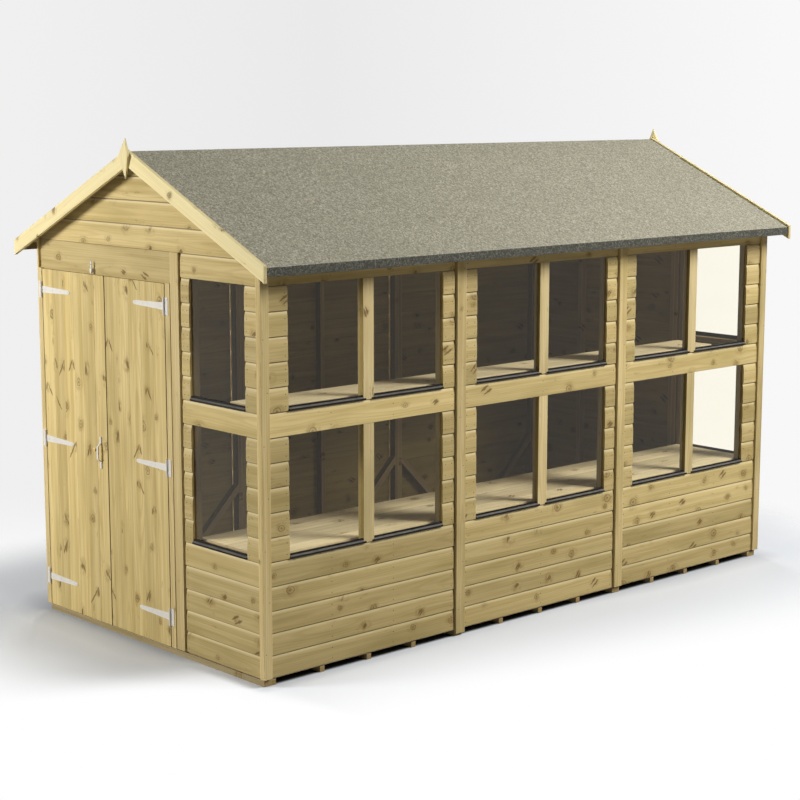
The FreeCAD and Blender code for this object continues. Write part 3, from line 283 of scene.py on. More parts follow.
def wood(name, light, dark, knots=0.55, tint=0.35, knot_size=0.016, sawn=0.0, forked=False,
         figure=1.0, crown_highlight=0.0):
    """Softwood: streaks and year rings along the board, knots that bend them, and a lightness for each
    board, partly at random and partly painted shade.

    Some knots are cut across and show rings. The others are cut along and show as a pair of spikes, side
    by side or forked. Figure is how strongly the year rings and fibres show. The rounded upper edges get a
    painted highlight, as they face up to the light, and the crown value sets how strong it is; with it,
    faces that look down get painted shade.
    """
    tree = Shader(bpy.data.materials.new(name))
    grain = tree.attribute("grain", "Vector")
    halo, disc, rings, spikes, bend = knot_marks(tree, grain, knots, knot_size, forked)
    along, across, deep = tree.split(grain)
    across = tree.plus(across, bend)
    flow = tree.join(along, across, deep)
    streak = tree.noise(tree.scaled(flow, (1.1, 34.0, 34.0)), detail=4.0, roughness=0.6)
    fibre = tree.noise(tree.scaled(flow, (7.0, 420.0, 420.0)))
    sway = tree.noise(tree.scaled(flow, (1.4, 5.0, 5.0)), detail=1.0)
    patch = tree.noise(tree.scaled(flow, (1.7, 7.0, 7.0)))
    scar = tree.noise(tree.scaled(flow, (9.0, 26.0, 26.0)), detail=5.0, roughness=0.65)
    blotch = tree.noise(flow, 38.0, detail=3.0)
    heart = tree.math("SQRT", tree.plus(tree.square(across), tree.square(deep)))
    phase = tree.plus(tree.times(heart, YEAR_RINGS), tree.times(sway, RING_SWAY))
    late = tree.span(tree.math("SINE", phase), 0.1, 1.0)
    colour = tree.ramp(streak, [(0.28, dark), (0.62, light)])
    colour = tree.mix(tree.times(late, 0.22 * figure), colour, RING_BROWN)
    colour = tree.mix(tree.times(tree.span(fibre, 0.5, 0.75), 0.14 * figure), colour, RING_BROWN)
    colour = tree.mix(tree.times(tree.span(patch, 0.48, 0.7), tint), colour, MOSS)
    # Each board's own lightness, random, with painted shade on shelves and on the low boards at the near
    # corner.
    colour = tree.mix(1.0, colour, tree.ramp(tree.attribute("tone_and_shade"), BOARD_TONE_AND_SHADE), "MULTIPLY")
    colour = tree.mix(tree.times(halo, tree.span(blotch, 0.4, 0.65, 0.15, 0.75)), colour, KNOT_STAIN)
    colour = tree.mix(tree.span(scar, 0.62, 0.76, 0.0, 0.6), colour, SCAR_BROWN)
    colour = tree.mix(tree.times(disc, 0.25), colour, KNOT_HEART)
    colour = tree.mix(tree.times(rings, 0.65), colour, KNOT_RING)
    colour = tree.mix(tree.times(spikes, 0.8), colour, KNOT_SPIKE)
    colour = tree.mix(tree.times(tree.attribute("rim"), 0.3), colour, WORN_EDGE)
    colour = tree.mix(tree.times(tree.attribute("end"), 0.5), colour, END_GRAIN)
    # Painted highlight on the rounded upper edges of the boards, which face up to the light.
    if crown_highlight:
        up = tree.up()
        rounded = tree.times(tree.span(up, 0.14, 0.27, 0.0, crown_highlight), tree.span(up, 0.8, 0.6))
        colour = tree.mix(rounded, colour, PAINTED_CROWN_HIGHLIGHT)
        # Painted shade on faces that look down, for the shadow line under each board.
        colour = tree.mix(tree.span(up, -0.1, -0.5, 0.0, 0.8), colour, PAINTED_UNDERSIDE_SHADE)
    # Faces that look into the shed are darker: rough-sawn board backs in part, painted shade for the rest.
    dull = tree.mix(1.0, colour, SAWN_BACK_AND_PAINTED_SHADE, "MULTIPLY")
    colour = tree.mix(tree.attribute("back"), colour, dull)
    # Painted shade in the groove under each wall board and in the gaps round a door.
    colour = tree.mix(tree.times(tree.attribute("gap"), 0.85), colour, PAINTED_GAP_SHADE)
    height = tree.plus(tree.times(streak, 0.5), tree.times(fibre, 0.25 + sawn))
    height = tree.minus(height, tree.times(late, 0.15))
    height = tree.plus(height, tree.times(disc, 0.3))
    rough = tree.span(streak, 0.3, 0.7, 0.78, 0.6)
    relief = tree.bump(height, 0.35, 0.0012)
    shader = tree.principled(Base_Color=colour, Roughness=rough, Specular_IOR_Level=0.3, Normal=relief)
    return tree.end(shader)


GRANULES = [(0.0, srgb(116, 113, 98)), (0.35, srgb(156, 153, 134)), (0.75, srgb(181, 177, 157)),
            (1.0, srgb(222, 219, 203))]
FINE_GRANULES = [(0.0, srgb(124, 122, 107)), (1.0, srgb(206, 204, 186))]
EDGE_GRANULES = [(0.0, srgb(66, 66, 60)), (0.6, srgb(88, 88, 80)), (1.0, srgb(120, 120, 110))]
FELT_CLOUD = srgb(144, 146, 127)
EAVES = (1.96, 1.99)


def felt(name):
    """Mineral felt: coarse and fine granules, and a darker strip where it turns down at the eaves."""
    tree = Shader(bpy.data.materials.new(name))
    place = tree.place()
    coarse = tree.split(tree.cells(place, 150.0)["Color"])[0]
    small = tree.split(tree.cells(place, 420.0)["Color"])[1]
    cloud = tree.noise(place, 2.3, detail=3.0)
    colour = tree.mix(0.35, tree.ramp(coarse, GRANULES), tree.ramp(small, FINE_GRANULES))
    colour = tree.mix(tree.span(cloud, 0.35, 0.7, 0.0, 0.14), colour, FELT_CLOUD)
    low = tree.span(tree.split(place)[2], EAVES[1], EAVES[0])
    turned = tree.times(tree.span(tree.up(), 0.7, 0.25), low)
    colour = tree.mix(turned, colour, tree.ramp(coarse, EDGE_GRANULES))
    rough = tree.span(small, 0.0, 1.0, 0.98, 0.8)
    relief = tree.bump(tree.plus(coarse, tree.times(small, 0.6)), 0.6, 0.0012)
    shader = tree.principled(Base_Color=colour, Roughness=rough, Specular_IOR_Level=0.2, Normal=relief)
    return tree.end(shader)


PAINTED_SHEEN_GREY = srgb(118, 115, 110)


def paint(name, colour, worn, rough, shine=0.3, sheen=0.0):
    """Painted metal or moulded plastic: mottling, a fine skin, rubbed edges and a painted highlight on faces
    that slope up.
    """
    tree = Shader(bpy.data.materials.new(name))
    place = tree.place()
    mottle = tree.noise(place, 26.0, detail=4.0)
    skin = tree.noise(place, 900.0)
    wear = tree.span(tree.noise(place, 120.0, detail=3.0), 0.45, 0.65)
    shown = tree.mix(tree.span(mottle, 0.35, 0.75, 0.0, 0.22), colour, worn)
    shown = tree.mix(tree.times(tree.times(tree.attribute("rim"), wear), 0.7), shown, worn)
    up = tree.up()
    # Painted highlight in grey on faces that slope up, but not on level tops.
    sloped = tree.times(tree.span(up, 0.6, 0.8), tree.span(up, 0.98, 0.9, 0.0, sheen))
    shown = tree.mix(tree.times(sloped, tree.span(mottle, 0.3, 0.6, 0.7, 1.0)), shown, PAINTED_SHEEN_GREY)
    rough = tree.span(mottle, 0.3, 0.7, rough, rough + 0.14)
    relief = tree.bump(skin, 0.12, 0.0003)
    shader = tree.principled(Base_Color=shown, Roughness=rough, Specular_IOR_Level=shine, Normal=relief)
    return tree.end(shader)


def metal(name, colour, dull, rough):
    """Bare metal: brushed lines, a cloudy plating and brighter edges."""
    tree = Shader(bpy.data.materials.new(name))
    place = tree.place()
    lines = tree.noise(tree.scaled(place, (60.0, 60.0, 1800.0)), detail=3.0)
    cloud = tree.noise(place, 70.0, detail=4.0)
    shown = tree.mix(tree.span(cloud, 0.35, 0.7, 0.0, 0.6), colour, dull)
    shown = tree.mix(tree.times(tree.attribute("rim"), 0.4), shown, grey(0.85))
    rough = tree.span(lines, 0.3, 0.7, rough, rough + 0.2)
    relief = tree.bump(lines, 0.1, 0.0003)
    shader = tree.principled(Base_Color=shown, Metallic=1.0, Roughness=rough, Normal=relief)
    return tree.end(shader)


CLEAN_GLASS = (0.998, 0.99, 0.955, 1)
SMEARED_GLASS = (0.985, 0.975, 0.94, 1)
GLASS_MIRROR = (0.95, 0.91, 0.83, 1)


def glass(name):
    """Clear sheet glass with a warm tint, faint smears and its mirror at a glance."""
    tree = Shader(bpy.data.materials.new(name))
    smear = tree.noise(tree.scaled(tree.place(), (3.0, 3.0, 9.0)), detail=4.0)
    tint = tree.mix(tree.span(smear, 0.4, 0.75, 0.0, 0.3), CLEAN_GLASS, SMEARED_GLASS)
    clear = tree.add("BsdfTransparent")
    tree.feed(clear.inputs["Color"], tint)
    mirror = tree.add("BsdfGlossy")
    tree.feed(mirror.inputs["Color"], GLASS_MIRROR)
    tree.feed(mirror.inputs["Roughness"], tree.span(smear, 0.4, 0.75, 0.01, 0.06))
    glance = tree.add("Fresnel")
    tree.feed(glance.inputs["IOR"], 1.4)
    outer = tree.minus(1.0, tree.add("NewGeometry").outputs["Backfacing"])
    share = tree.times(glance.outputs[0], outer)
    return tree.end(tree.blend(share, clear.outputs[0], mirror.outputs[0]))


finishes = {
    "cladding_wood": wood("cladding wood", srgb(216, 195, 137), srgb(192, 170, 111), figure=0.9, crown_highlight=0.48),
    "door_wood": wood("door wood", srgb(231, 209, 147), srgb(202, 177, 112), knots=0.6, tint=0.25,
                      forked=True),
    "trim_wood": wood("trim wood", srgb(230, 209, 153), srgb(205, 181, 120), knots=0.16, tint=0.4,
                      knot_size=0.01),
    "barge_wood": wood("barge wood", srgb(251, 237, 182), srgb(244, 227, 170), knots=0.3, tint=0.1,
                       knot_size=0.01, figure=0.35),
    "jamb_wood": wood("jamb wood", srgb(238, 218, 164), srgb(218, 196, 140), knots=0.15, sawn=0.2),
    # Frame wood is the framing timber made darker as painted shade, for frames inside the shed; jamb wood is
    # the same timber unshaded.
    "frame_wood": wood("frame wood in painted shade", srgb(158, 138, 102), srgb(132, 112, 80), knots=0.2, sawn=0.2),
    "board_wood": wood("board wood", srgb(252, 240, 206), srgb(238, 221, 178), knots=0.2, tint=0.15),
    "bearer_wood": wood("bearer wood", srgb(176, 160, 120), srgb(140, 124, 90), knots=0.2, tint=0.4,
                        sawn=0.3),
    "glass": glass("glass"),
    "felt": felt("mineral felt"),
    # The last value is a painted highlight on the sloping faces of the sills.
    "black_plastic": paint("black plastic", srgb(20, 19, 18), srgb(46, 45, 42), 0.45, 0.12, 0.9),
    "white_metal": paint("white paint", srgb(230, 227, 220), srgb(192, 186, 174), 0.38),
    "steel": metal("zinc plate", grey(0.62), grey(0.42), 0.3),
    "brass": metal("brass", (0.86, 0.68, 0.28, 1), (0.66, 0.48, 0.18, 1), 0.28),
    "nail": metal("nail", srgb(92, 82, 66), srgb(60, 48, 34), 0.55),
}


# Copies of the solids with rounded edges, and the run of the grain in each


def solids_of(mesh):
    """The closed solids of a node, as lists of corner points. Each one ends before the next begins."""
    points = [tuple(round(value, 6) for value in vertex.co) for vertex in mesh.vertices]
    found = []
    group = []
    loose = set()
    for polygon in mesh.polygons:
        corners = [points[index] for index in polygon.vertices]
        group.append(corners)
        for first, second in zip(corners, corners[1:] + corners[:1]):
            if first != second:
                loose ^= {frozenset((first, second))}
        if not loose:
            found.append(group)
            group = []
    return found


def boxes_of(node):
    """Lowest and highest corners of each solid of a node."""
    found = []
    for triangles in solids_of(frame["nodes"][node].data):
        flat = [point for triangle in triangles for point in triangle]
        low = Vector([min(point[axis] for point in flat) for axis in range(3)])
        high = Vector([max(point[axis] for point in flat) for axis in range(3)])
        found.append((low, high))
    return found


FLAT_WITHIN = math.radians(1.0)


def shape_of(triangles):
    """One solid as a mesh with its flat faces whole."""
    shape = bmesh.new()
    corners = {}
    for triangle in triangles:
        for point in triangle:
            if point not in corners:
                corners[point] = shape.verts.new(point)
        if len(set(triangle)) == 3:
            shape.faces.new([corners[point] for point in triangle])
    shape.normal_update()
    bmesh.ops.dissolve_limit(shape, angle_limit=FLAT_WITHIN, verts=shape.verts[:], edges=shape.edges[:])
    bmesh.ops.recalc_face_normals(shape, faces=shape.faces[:])
    return shape


def board_axes(shape, run):
    """Unit vectors along, across and through a board. The run is given, or that of the longest edge."""
    if run is None:
        longest = max(shape.edges, key=lambda edge: edge.calc_length())
        run = longest.verts[1].co - longest.verts[0].co
    along = Vector(run).normalized()
    sides = [face for face in shape.faces if abs(face.normal.dot(along)) < 0.5]
    broad = max(sides, key=lambda face: face.calc_area()).normal.copy()
    through = (broad - along * broad.dot(along)).normalized()
    return along, through.cross(along), through


WINDOW_RAIL = (1.17, 1.25)
DOOR_HEAD = (1.82, 1.94)
NEAR_WALLS = ("window_panel_1_cladding", "front_cladding")


def board_tone_and_shade(node, height, share):
    """How light a board is, from 0 to 1. Rails between windows are pale, and the board over the doors is
    dark.
    Shelves and the low boards at the near corner are dark as painted shade. Share is the board's own chance.
    """
    if WINDOW_RAIL[0] < height < WINDOW_RAIL[1]:
        return 1.0 if node == "window_panel_1_cladding" else 0.7 + 0.1 * share
    if node == "shelf_boards" or node == "front_gable_boards" and DOOR_HEAD[0] < height < DOOR_HEAD[1]:
        return 0.1 * share
    if node.endswith("gable_boards"):
        return 0.4 + 0.5 * share
    if node in NEAR_WALLS and height < WINDOW_RAIL[0]:
        return 0.45 * share
    return 0.8 * share


def inner_face(node, normal, inward):
    """Whether a face looks into the shed, where wood is darker: board backs, rough-sawn and in part painted
    shade, and the sides of the frames, as painted shade.
    """
    if slot_of[node] == "cladding_wood":
        return normal.dot(inward) > 0.9
    if node.startswith("window_panel"):
        return normal.x < 0.5
    if node.startswith("plain_panel"):
        return abs(normal.y) > 0.5
    return node == "front_frame" and normal.y > -0.5


BOARD_EDGE = 0.0015
DOOR_EDGE = 0.0022
SMALL_EDGE = 0.0005
SHARP_ANGLE = math.radians(35)
CREASE_ANGLE = math.radians(50)
TIP_THINNING = 0.0125
GROOVE_HEIGHT = 0.0048
GROOVE_SHADE = 0.75


def sharpen(shape):
    """Thins a finial towards its two points, on the face that looks out."""
    outer = max(abs(vert.co.y) for vert in shape.verts)
    front = [vert for vert in shape.verts if abs(vert.co.y) > outer - 0.001]
    shoulders = sorted(front, key=lambda vert: abs(vert.co.x))[-2:]
    face = next(face for face in shape.faces if all(vert in front for vert in face.verts))
    bmesh.utils.face_split(face, *shoulders)
    for vert in front:
        if vert not in shoulders:
            vert.co.y -= math.copysign(TIP_THINNING, vert.co.y)


def split_groove(shape):
    """Cuts a strip at the top of a board, for the painted shade line under the next one, and gives its foot.
    """
    foot = max(vert.co.z for vert in shape.verts) - GROOVE_HEIGHT
    everything = shape.verts[:] + shape.edges[:] + shape.faces[:]
    bmesh.ops.bisect_plane(shape, geom=everything, plane_co=(0, 0, foot), plane_no=(0, 0, 1))
    shape.normal_update()
    return foot


def round_edges(shape, width):
    """Rounds the sharp edges of a shape, and gives the faces that this makes."""
    sharp = [line for line in shape.edges
             if len(line.link_faces) == 2 and line.calc_face_angle() > SHARP_ANGLE]
    rounded = bmesh.ops.bevel(shape, geom=sharp, offset=width, offset_type="OFFSET", segments=2,
                              profile=0.5, affect="EDGES", clamp_overlap=True)
    shape.verts.index_update()
    return set(rounded["faces"])


def gap_shade(node, face, sides, edge, groove):
    """How much painted shade a face gets, from 0 to 1: in the groove of a wall board, under the next one, or
    round the outline of a door and on the top faces of its boards.
    """
    spot = face.calc_center_median()
    if spot.z > groove and 0.15 < face.normal.z < 0.95:
        return GROOVE_SHADE
    outline = min(spot.x - sides[0], sides[1] - spot.x) < edge or face.normal.z > 0.9
    return 1.0 if "door_boards" in node and outline else 0.0


def dress(node, finish, run=None, edge=BOARD_EDGE):
    """A copy of a node with rounded edges and the marks that its finish reads, which stands for it."""
    chance = random.Random(node)
    source = frame["nodes"][node].data
    across_places = [corner.co.x for corner in source.vertices]
    sides = (min(across_places), max(across_places))
    points, faces, grain = [], [], []
    marks = {name: [] for name in ("tone_and_shade", "rim", "end", "back", "gap")}
    for triangles in solids_of(source):
        shape = shape_of(triangles)
        if node.endswith("finial"):
            sharpen(shape)
        along, across, through = board_axes(shape, run)
        shift = Vector((chance.uniform(-40, 40), chance.uniform(-0.05, 0.05), chance.uniform(0.01, 0.09)))
        middle = sum((vert.co for vert in shape.verts), Vector()) / len(shape.verts)
        own_tone_and_shade = board_tone_and_shade(node, middle.z, chance.random())
        inward = -through if middle.dot(through) > 0 else through
        groove = split_groove(shape) if finish == "cladding_wood" else math.inf
        turned = round_edges(shape, edge)
        start = len(points)
        for vert in shape.verts:
            points.append(vert.co.copy())
            offset = vert.co - middle
            grain.extend(shift + Vector((offset.dot(along), offset.dot(across), offset.dot(through))))
        for face in shape.faces:
            faces.append([start + vert.index for vert in face.verts])
            marks["tone_and_shade"].append(own_tone_and_shade)
            marks["rim"].append(float(face in turned))
            marks["end"].append(float(abs(face.normal.dot(along)) > 0.9))
            marks["back"].append(float(inner_face(node, face.normal, inward)))
            marks["gap"].append(gap_shade(node, face, sides, edge, groove))
        shape.free()
    piece = new_piece("finished_" + node, points, faces, finishes[finish])
    mesh = piece.data
    mesh.attributes.new("grain", "FLOAT_VECTOR", "POINT").data.foreach_set("vector", grain)
    for name, values in marks.items():
        mesh.attributes.new(name, "FLOAT", "FACE").data.foreach_set("value", values)
    mesh.shade_smooth()
    mesh.set_sharp_from_angle(angle=CREASE_ANGLE)
    weights = piece.modifiers.new("even normals", "WEIGHTED_NORMAL")
    weights.keep_sharp = True
    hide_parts(node)
    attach(piece, body_of[node])


ALONG_X = (1, 0, 0)
ALONG_Y = (0, 1, 0)
ALONG_Z = (0, 0, 1)

for node, slot in slot_of.items():
    if slot == "glass":
        own = frame["nodes"][node].data.materials
        own.clear()
        own.append(finishes["glass"])
    elif slot == "cladding_wood" and "door" in node:
        dress(node, "door_wood", ALONG_Z, DOOR_EDGE)
    elif slot == "cladding_wood":
        dress(node, "cladding_wood", ALONG_Y if "panel" in node else ALONG_X)
    elif slot in ("white_metal", "steel", "brass", "black_plastic"):
        dress(node, slot, None, SMALL_EDGE)
    elif node.startswith("window_panel"):
        dress(node, "jamb_wood")
    elif node.endswith("finial"):
        dress(node, "barge_wood", ALONG_Z, SMALL_EDGE)
    elif node.endswith("bargeboards"):
        dress(node, "barge_wood")
    else:
        dress(node, slot)


# Heads of nails and screws, and the nails of the walls and strips


HEAD_ROOT = -0.0004
RECESS_WAIST = 0.18


def heads(name, body, finish, spots, radius, height, sides, cross=0.0):
    """Fastener heads as one mesh, with a cross recess where cross gives its reach as a share of the radius.

    Each spot is a point on a face and the way that the face looks.
    """
    rings = [([radius] * sides, HEAD_ROOT), ([radius] * sides, 0.15 * height),
             ([0.7 * radius] * sides, 0.9 * height)]
    tip_lift = height
    if cross:
        star = [radius * (cross if step % 2 == 0 else RECESS_WAIST) for step in range(sides)]
        rings.append((star, 0.9 * height))
        tip_lift = 0.25 * height
    points, faces = [], []
    for place, way in spots:
        way = Vector(way).normalized()
        right = way.orthogonal().normalized()
        up = way.cross(right)
        start = len(points)
        for sizes, lift in rings:
            for step, size in enumerate(sizes):
                turn = 2 * math.pi * step / sides
                aside = right * math.cos(turn) + up * math.sin(turn)
                points.append(Vector(place) + way * lift + aside * size)
        for layer in range(len(rings) - 1):
            low = start + layer * sides
            high = low + sides
            for step in range(sides):
                ahead = (step + 1) % sides
                faces.append([low + step, low + ahead, high + ahead, high + step])
        last = start + (len(rings) - 1) * sides
        tip = len(points)
        points.append(Vector(place) + way * tip_lift)
        for step in range(sides):
            faces.append([last + step, last + (step + 1) % sides, tip])
        faces.append([start + step for step in reversed(range(sides))])
    piece = new_piece(name, points, faces, finishes[finish])
    piece.data.attributes.new("rim", "FLOAT", "FACE")
    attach(piece, body)


NAIL_INSET = 0.017
NAIL_PITCH = 0.46
NAIL_SHARES = (0.2, 0.68)
LEAST_BOARD = 0.05
WALL_NAIL = 0.0024
STRIP_NAIL = 0.0022
STRIP_PITCH = 0.24
STRIP_STAGGER = 0.22
LEAST_STRIP = (0.03, 1.0)
NAIL_HEIGHT = 0.0006
NAIL_SIDES = 8


def looking(axis, way):
    """The unit vector along an axis, forwards or backwards."""
    look = Vector((0, 0, 0))
    look[axis] = way
    return look


def nail_rows(node, run, out, way):
    """Two nails in each board at its ends and at even steps between, on the face that looks that way."""
    spots = []
    for low, high in boxes_of(node):
        length = high[run] - low[run]
        tall = high.z - low.z
        if length < 2.5 * NAIL_INSET or tall < LEAST_BOARD:
            continue
        gaps = max(1, round((length - 2 * NAIL_INSET) / NAIL_PITCH))
        for step in range(gaps + 1):
            along = low[run] + NAIL_INSET + (length - 2 * NAIL_INSET) * step / gaps
            for share in NAIL_SHARES:
                point = Vector((0, 0, low.z + tall * share))
                point[run] = along
                point[out] = high[out] if way > 0 else low[out]
                spots.append((point, looking(out, way)))
    return spots


def strip_rows(node):
    """Nails at even steps up each upright strip, left and right of its middle by turns."""
    spots = []
    for low, high in boxes_of(node):
        size = high - low
        out = 0 if size.x < size.y else 1
        run = 1 - out
        if size[run] < LEAST_STRIP[0] or size.z < LEAST_STRIP[1]:
            continue
        way = 1 if low[out] + high[out] > 0 else -1
        steps = round(size.z / STRIP_PITCH)
        for step in range(steps):
            point = (low + high) / 2
            point[out] = high[out] if way > 0 else low[out]
            point[run] += (STRIP_STAGGER if step % 2 else -STRIP_STAGGER) * size[run]
            point.z = low.z + size.z * (step + 0.5) / steps
            spots.append((point, looking(out, way)))
    return spots


nails = []
for number in (1, 2, 3):
    nails += nail_rows(f"window_panel_{number}_cladding", 1, 0, 1)
    nails += nail_rows(f"plain_panel_{number}_cladding", 1, 0, -1)
nails += nail_rows("front_cladding", 0, 1, -1)
nails += nail_rows("back_cladding", 0, 1, 1)
heads("wall_nails", "shed", "nail", nails, WALL_NAIL, NAIL_HEIGHT, NAIL_SIDES)
strip_nails = strip_rows("corner_strips") + strip_rows("joint_strips")
heads("strip_nails", "shed", "nail", strip_nails, STRIP_NAIL, NAIL_HEIGHT, NAIL_SIDES)


# Screws and keyhole of the door furniture


FORWARD = Vector((0, -1, 0))
HINGE_HEIGHTS = (0.188, 0.922, 1.697)
STRAP_COLUMNS = {"left": (-0.848, -0.776, -0.7, -0.637), "right": (0.166, 0.094, 0.018, -0.045)}
STRAP_FACE = -1.8545
PLATE_COLUMNS = (-0.8955, 0.2135)
PLATE_SPREAD = 0.03
HANDLE_PLACES = [(-0.372, 0.85), (-0.372, 0.981)]
HANDLE_FACE = -1.858
SCREW_RADIUS = 0.0036
SCREW_HEIGHT = 0.0014
SCREW_SIDES = 12
SCREW_CROSS = 0.62


def screws(name, node, places, face):
    """Cross-head screws of a node at the given places, which are x and z on a face that looks forward."""
    spots = [(Vector((x, face, z)), FORWARD) for x, z in places]
    slot = slot_of[node]
    heads(name, body_of[node], slot, spots, SCREW_RADIUS, SCREW_HEIGHT, SCREW_SIDES, SCREW_CROSS)


for side, columns in STRAP_COLUMNS.items():
    strap_places = [(x, z) for x in columns for z in HINGE_HEIGHTS]
    screws(f"{side}_strap_screws", f"{side}_door_straps", strap_places, STRAP_FACE)
plate_heights = [z + lift for z in HINGE_HEIGHTS for lift in (-PLATE_SPREAD, PLATE_SPREAD)]
screws("plate_screws", "hinge_plates", [(x, z) for x in PLATE_COLUMNS for z in plate_heights], STRAP_FACE)
screws("handle_screws", "door_handle", HANDLE_PLACES, HANDLE_FACE)

KEYHOLE_PLACE = (-0.428, -1.859, 0.926)
KEYHOLE_LIFTS = (0.0002, -0.0002)


def keyhole(centre, radius, slot_width, slot_length):
    """A keyhole in the face of the lock plug: a round eye over a slot, with walls that run into the plug, in
    black that is painted shade for the hole.
    """
    outline = []
    for step in range(11):
        turn = math.radians(-60 + 30 * step)
        outline.append((radius * math.cos(turn), radius * math.sin(turn)))
    outline += [(-slot_width / 2, -slot_length), (slot_width / 2, -slot_length)]
    count = len(outline)
    points = []
    for lift in KEYHOLE_LIFTS:
        points += [Vector(centre) + Vector((x, 0, z)) + FORWARD * lift for x, z in outline]
    faces = [list(range(count)), list(reversed(range(count, 2 * count)))]
    faces += [[step, count + step, count + (step + 1) % count, (step + 1) % count] for step in range(count)]
    # Black here is painted shade: the dark inside a hole.
    piece = new_piece("keyhole", points, faces, finishes["black_plastic"])
    piece.data.attributes.new("rim", "FLOAT", "FACE")
    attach(piece, body_of["lock_plug"])


keyhole(KEYHOLE_PLACE, radius=0.0022, slot_width=0.0018, slot_length=0.0052)


# Stage, light and camera


FOOTPRINT = (0.92, 1.85, 0.0)
VIEW_RIGHT = (0.676, 0.737, 0.0)
VIEW_AHEAD = (-0.737, 0.676, 0.0)
FLOOR_REACH = 300.0
FLOOR_PAINTED_CONTACT_SHADE = [(0.0, (0.43, 0.465, 0.53, 1)), (0.35, (0.84, 0.895, 0.985, 1))]
FLOOR_BOUNCE = grey(0.35)
PAINTED_SHADOW_UNDER_SHED = grey(0.03)
BACKDROP = [(0.0, grey(0.87)), (0.4, grey(0.822)), (1.0, grey(0.938))]
BACKDROP_REACH = 0.2
BEHIND_PANES = 1.1
SOFT_LIGHT = (1.0, 0.985, 0.96, 1)
LAMP_LIGHT = (1.0, 0.975, 0.94)


def stage_floor():
    """A pale floor that keeps the real shadow beside the shed, with painted shade near the shed's foot and a
    painted shadow under it, turns white in front and fades out behind.
    """
    tree = Shader(bpy.data.materials.new("pale floor"))
    place = tree.place()
    x, y = tree.split(place)[:2]
    outside = tree.vector("SUBTRACT", tree.vector("ABSOLUTE", place), FOOTPRINT)
    clear = tree.vector("LENGTH", tree.vector("MAXIMUM", outside))
    # The floor colour is darkened near the shed's foot as painted shade, on top of the real shadow; front
    # and right shift where it starts.
    front = tree.times(tree.span(y, -1.75, -1.95), tree.span(x, 0.05, 0.62, 0.15, 0.42))
    right = tree.times(tree.span(x, 0.2, 0.9), tree.span(y, 1.2, -1.6, 0.2, 0.65))
    gap = tree.plus(clear, tree.plus(front, right))
    gap = tree.minus(gap, tree.span(x, -1.2, -1.8, 0.0, 0.2))
    # Painted shadow on the floor under the shed, from just inside its outline.
    out_x, out_y = tree.split(outside)[:2]
    under_shed_shadow = tree.span(tree.math("MAXIMUM", out_x, out_y), -0.01, -0.04)
    lit = tree.add("BsdfDiffuse")
    tree.feed(lit.inputs["Color"], tree.mix(under_shed_shadow, tree.ramp(gap, FLOOR_PAINTED_CONTACT_SHADE), PAINTED_SHADOW_UNDER_SHED))
    white = tree.add("Emission")
    behind = tree.add("BsdfTransparent")
    away = tree.vector("DOT_PRODUCT", place, VIEW_AHEAD)
    far = tree.blend(tree.span(away, -1.0, 2.5), white.outputs[0], behind.outputs[0])
    share = tree.times(tree.span(gap, 0.35, 1.32), tree.span(clear, 0.0, 0.08))
    shown = tree.blend(share, lit.outputs[0], far)
    bounce = tree.add("BsdfDiffuse")
    tree.feed(bounce.inputs["Color"], FLOOR_BOUNCE)
    material = tree.end(tree.blend(tree.seen(), bounce.outputs[0], shown))
    corners = [(-FLOOR_REACH, -FLOOR_REACH, 0), (FLOOR_REACH, -FLOOR_REACH, 0),
               (FLOOR_REACH, FLOOR_REACH, 0), (-FLOOR_REACH, FLOOR_REACH, 0)]
    floor = new_piece("floor", corners, [(0, 1, 2, 3)], material)


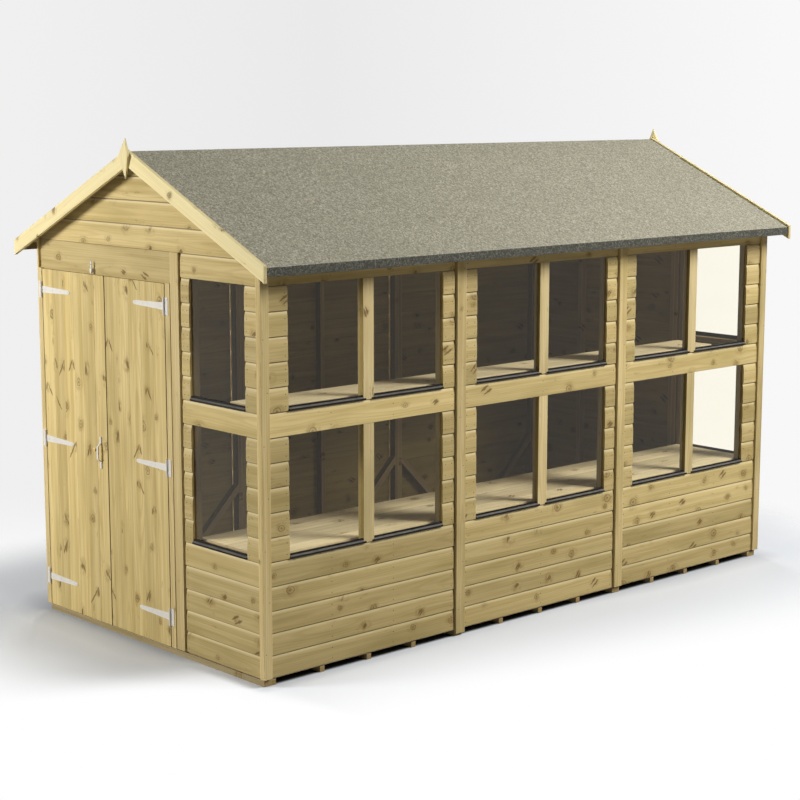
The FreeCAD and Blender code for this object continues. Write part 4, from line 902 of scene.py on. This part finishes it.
def studio_world(strength):
    """Even light from all round, and a pale backdrop where the camera, a mirror or glass looks at it."""
    tree = Shader(bpy.data.worlds.new("studio"))
    light = tree.add("Background")
    tree.feed(light.inputs["Color"], SOFT_LIGHT)
    tree.feed(light.inputs["Strength"], strength)
    aside = tree.vector("DOT_PRODUCT", tree.add("TexCoord").outputs["Generated"], VIEW_RIGHT)
    along = tree.span(aside, -BACKDROP_REACH, BACKDROP_REACH, kind="LINEAR")
    panes = tree.add("LightPath").outputs["Transparent Depth"]
    shown = tree.add("Background")
    tree.feed(shown.inputs["Color"], tree.ramp(along, BACKDROP))
    tree.feed(shown.inputs["Strength"], tree.span(panes, 1.0, 3.0, 1.0, BEHIND_PANES, kind="LINEAR"))
    both = tree.blend(tree.seen(), light.outputs[0], shown.outputs[0])
    bpy.context.scene.world = tree.end(both, "OutputWorld")


def soft_lamp(name, place, target, size, power):
    """A round area lamp that looks at a target."""
    lamp = bpy.data.lights.new(name, "AREA")
    lamp.shape = "DISK"
    lamp.size = size
    lamp.energy = power
    lamp.color = LAMP_LIGHT
    shown = bpy.data.objects.new(name, lamp)
    shown.location = place
    shown.rotation_euler = (Vector(target) - Vector(place)).to_track_quat("-Z", "Y").to_euler()
    bpy.context.scene.collection.objects.link(shown)


def photo_camera(place, dip, heading, lens):
    """The camera of the photo: its place, how far it looks down and round, in degrees, and its lens."""
    camera = bpy.data.cameras.new("photo camera")
    camera.sensor_fit = "HORIZONTAL"
    camera.sensor_width = 36.0
    camera.lens = lens
    shown = bpy.data.objects.new("photo camera", camera)
    shown.location = place
    shown.rotation_euler = (math.radians(90 - dip), 0, math.radians(heading))
    bpy.context.scene.collection.objects.link(shown)
    bpy.context.scene.camera = shown


stage_floor()
studio_world(0.05)
soft_lamp("key lamp", (6.3, 3.7, 6.6), (0.5, 0.0, 1.2), size=4.0, power=770)
soft_lamp("back lamp", (-6.5, 4.5, 4.5), (-0.5, 0.5, 1.2), size=3.0, power=190)
soft_lamp("front lamp", (-2.5, -7.0, 2.9), (-0.5, -1.8, 1.5), size=1.9, power=322)
photo_camera((7.31875, -6.8895, 2.6655), dip=9.29, heading=47.44, lens=83.22)
bpy.context.scene.view_settings.view_transform = "Standard"
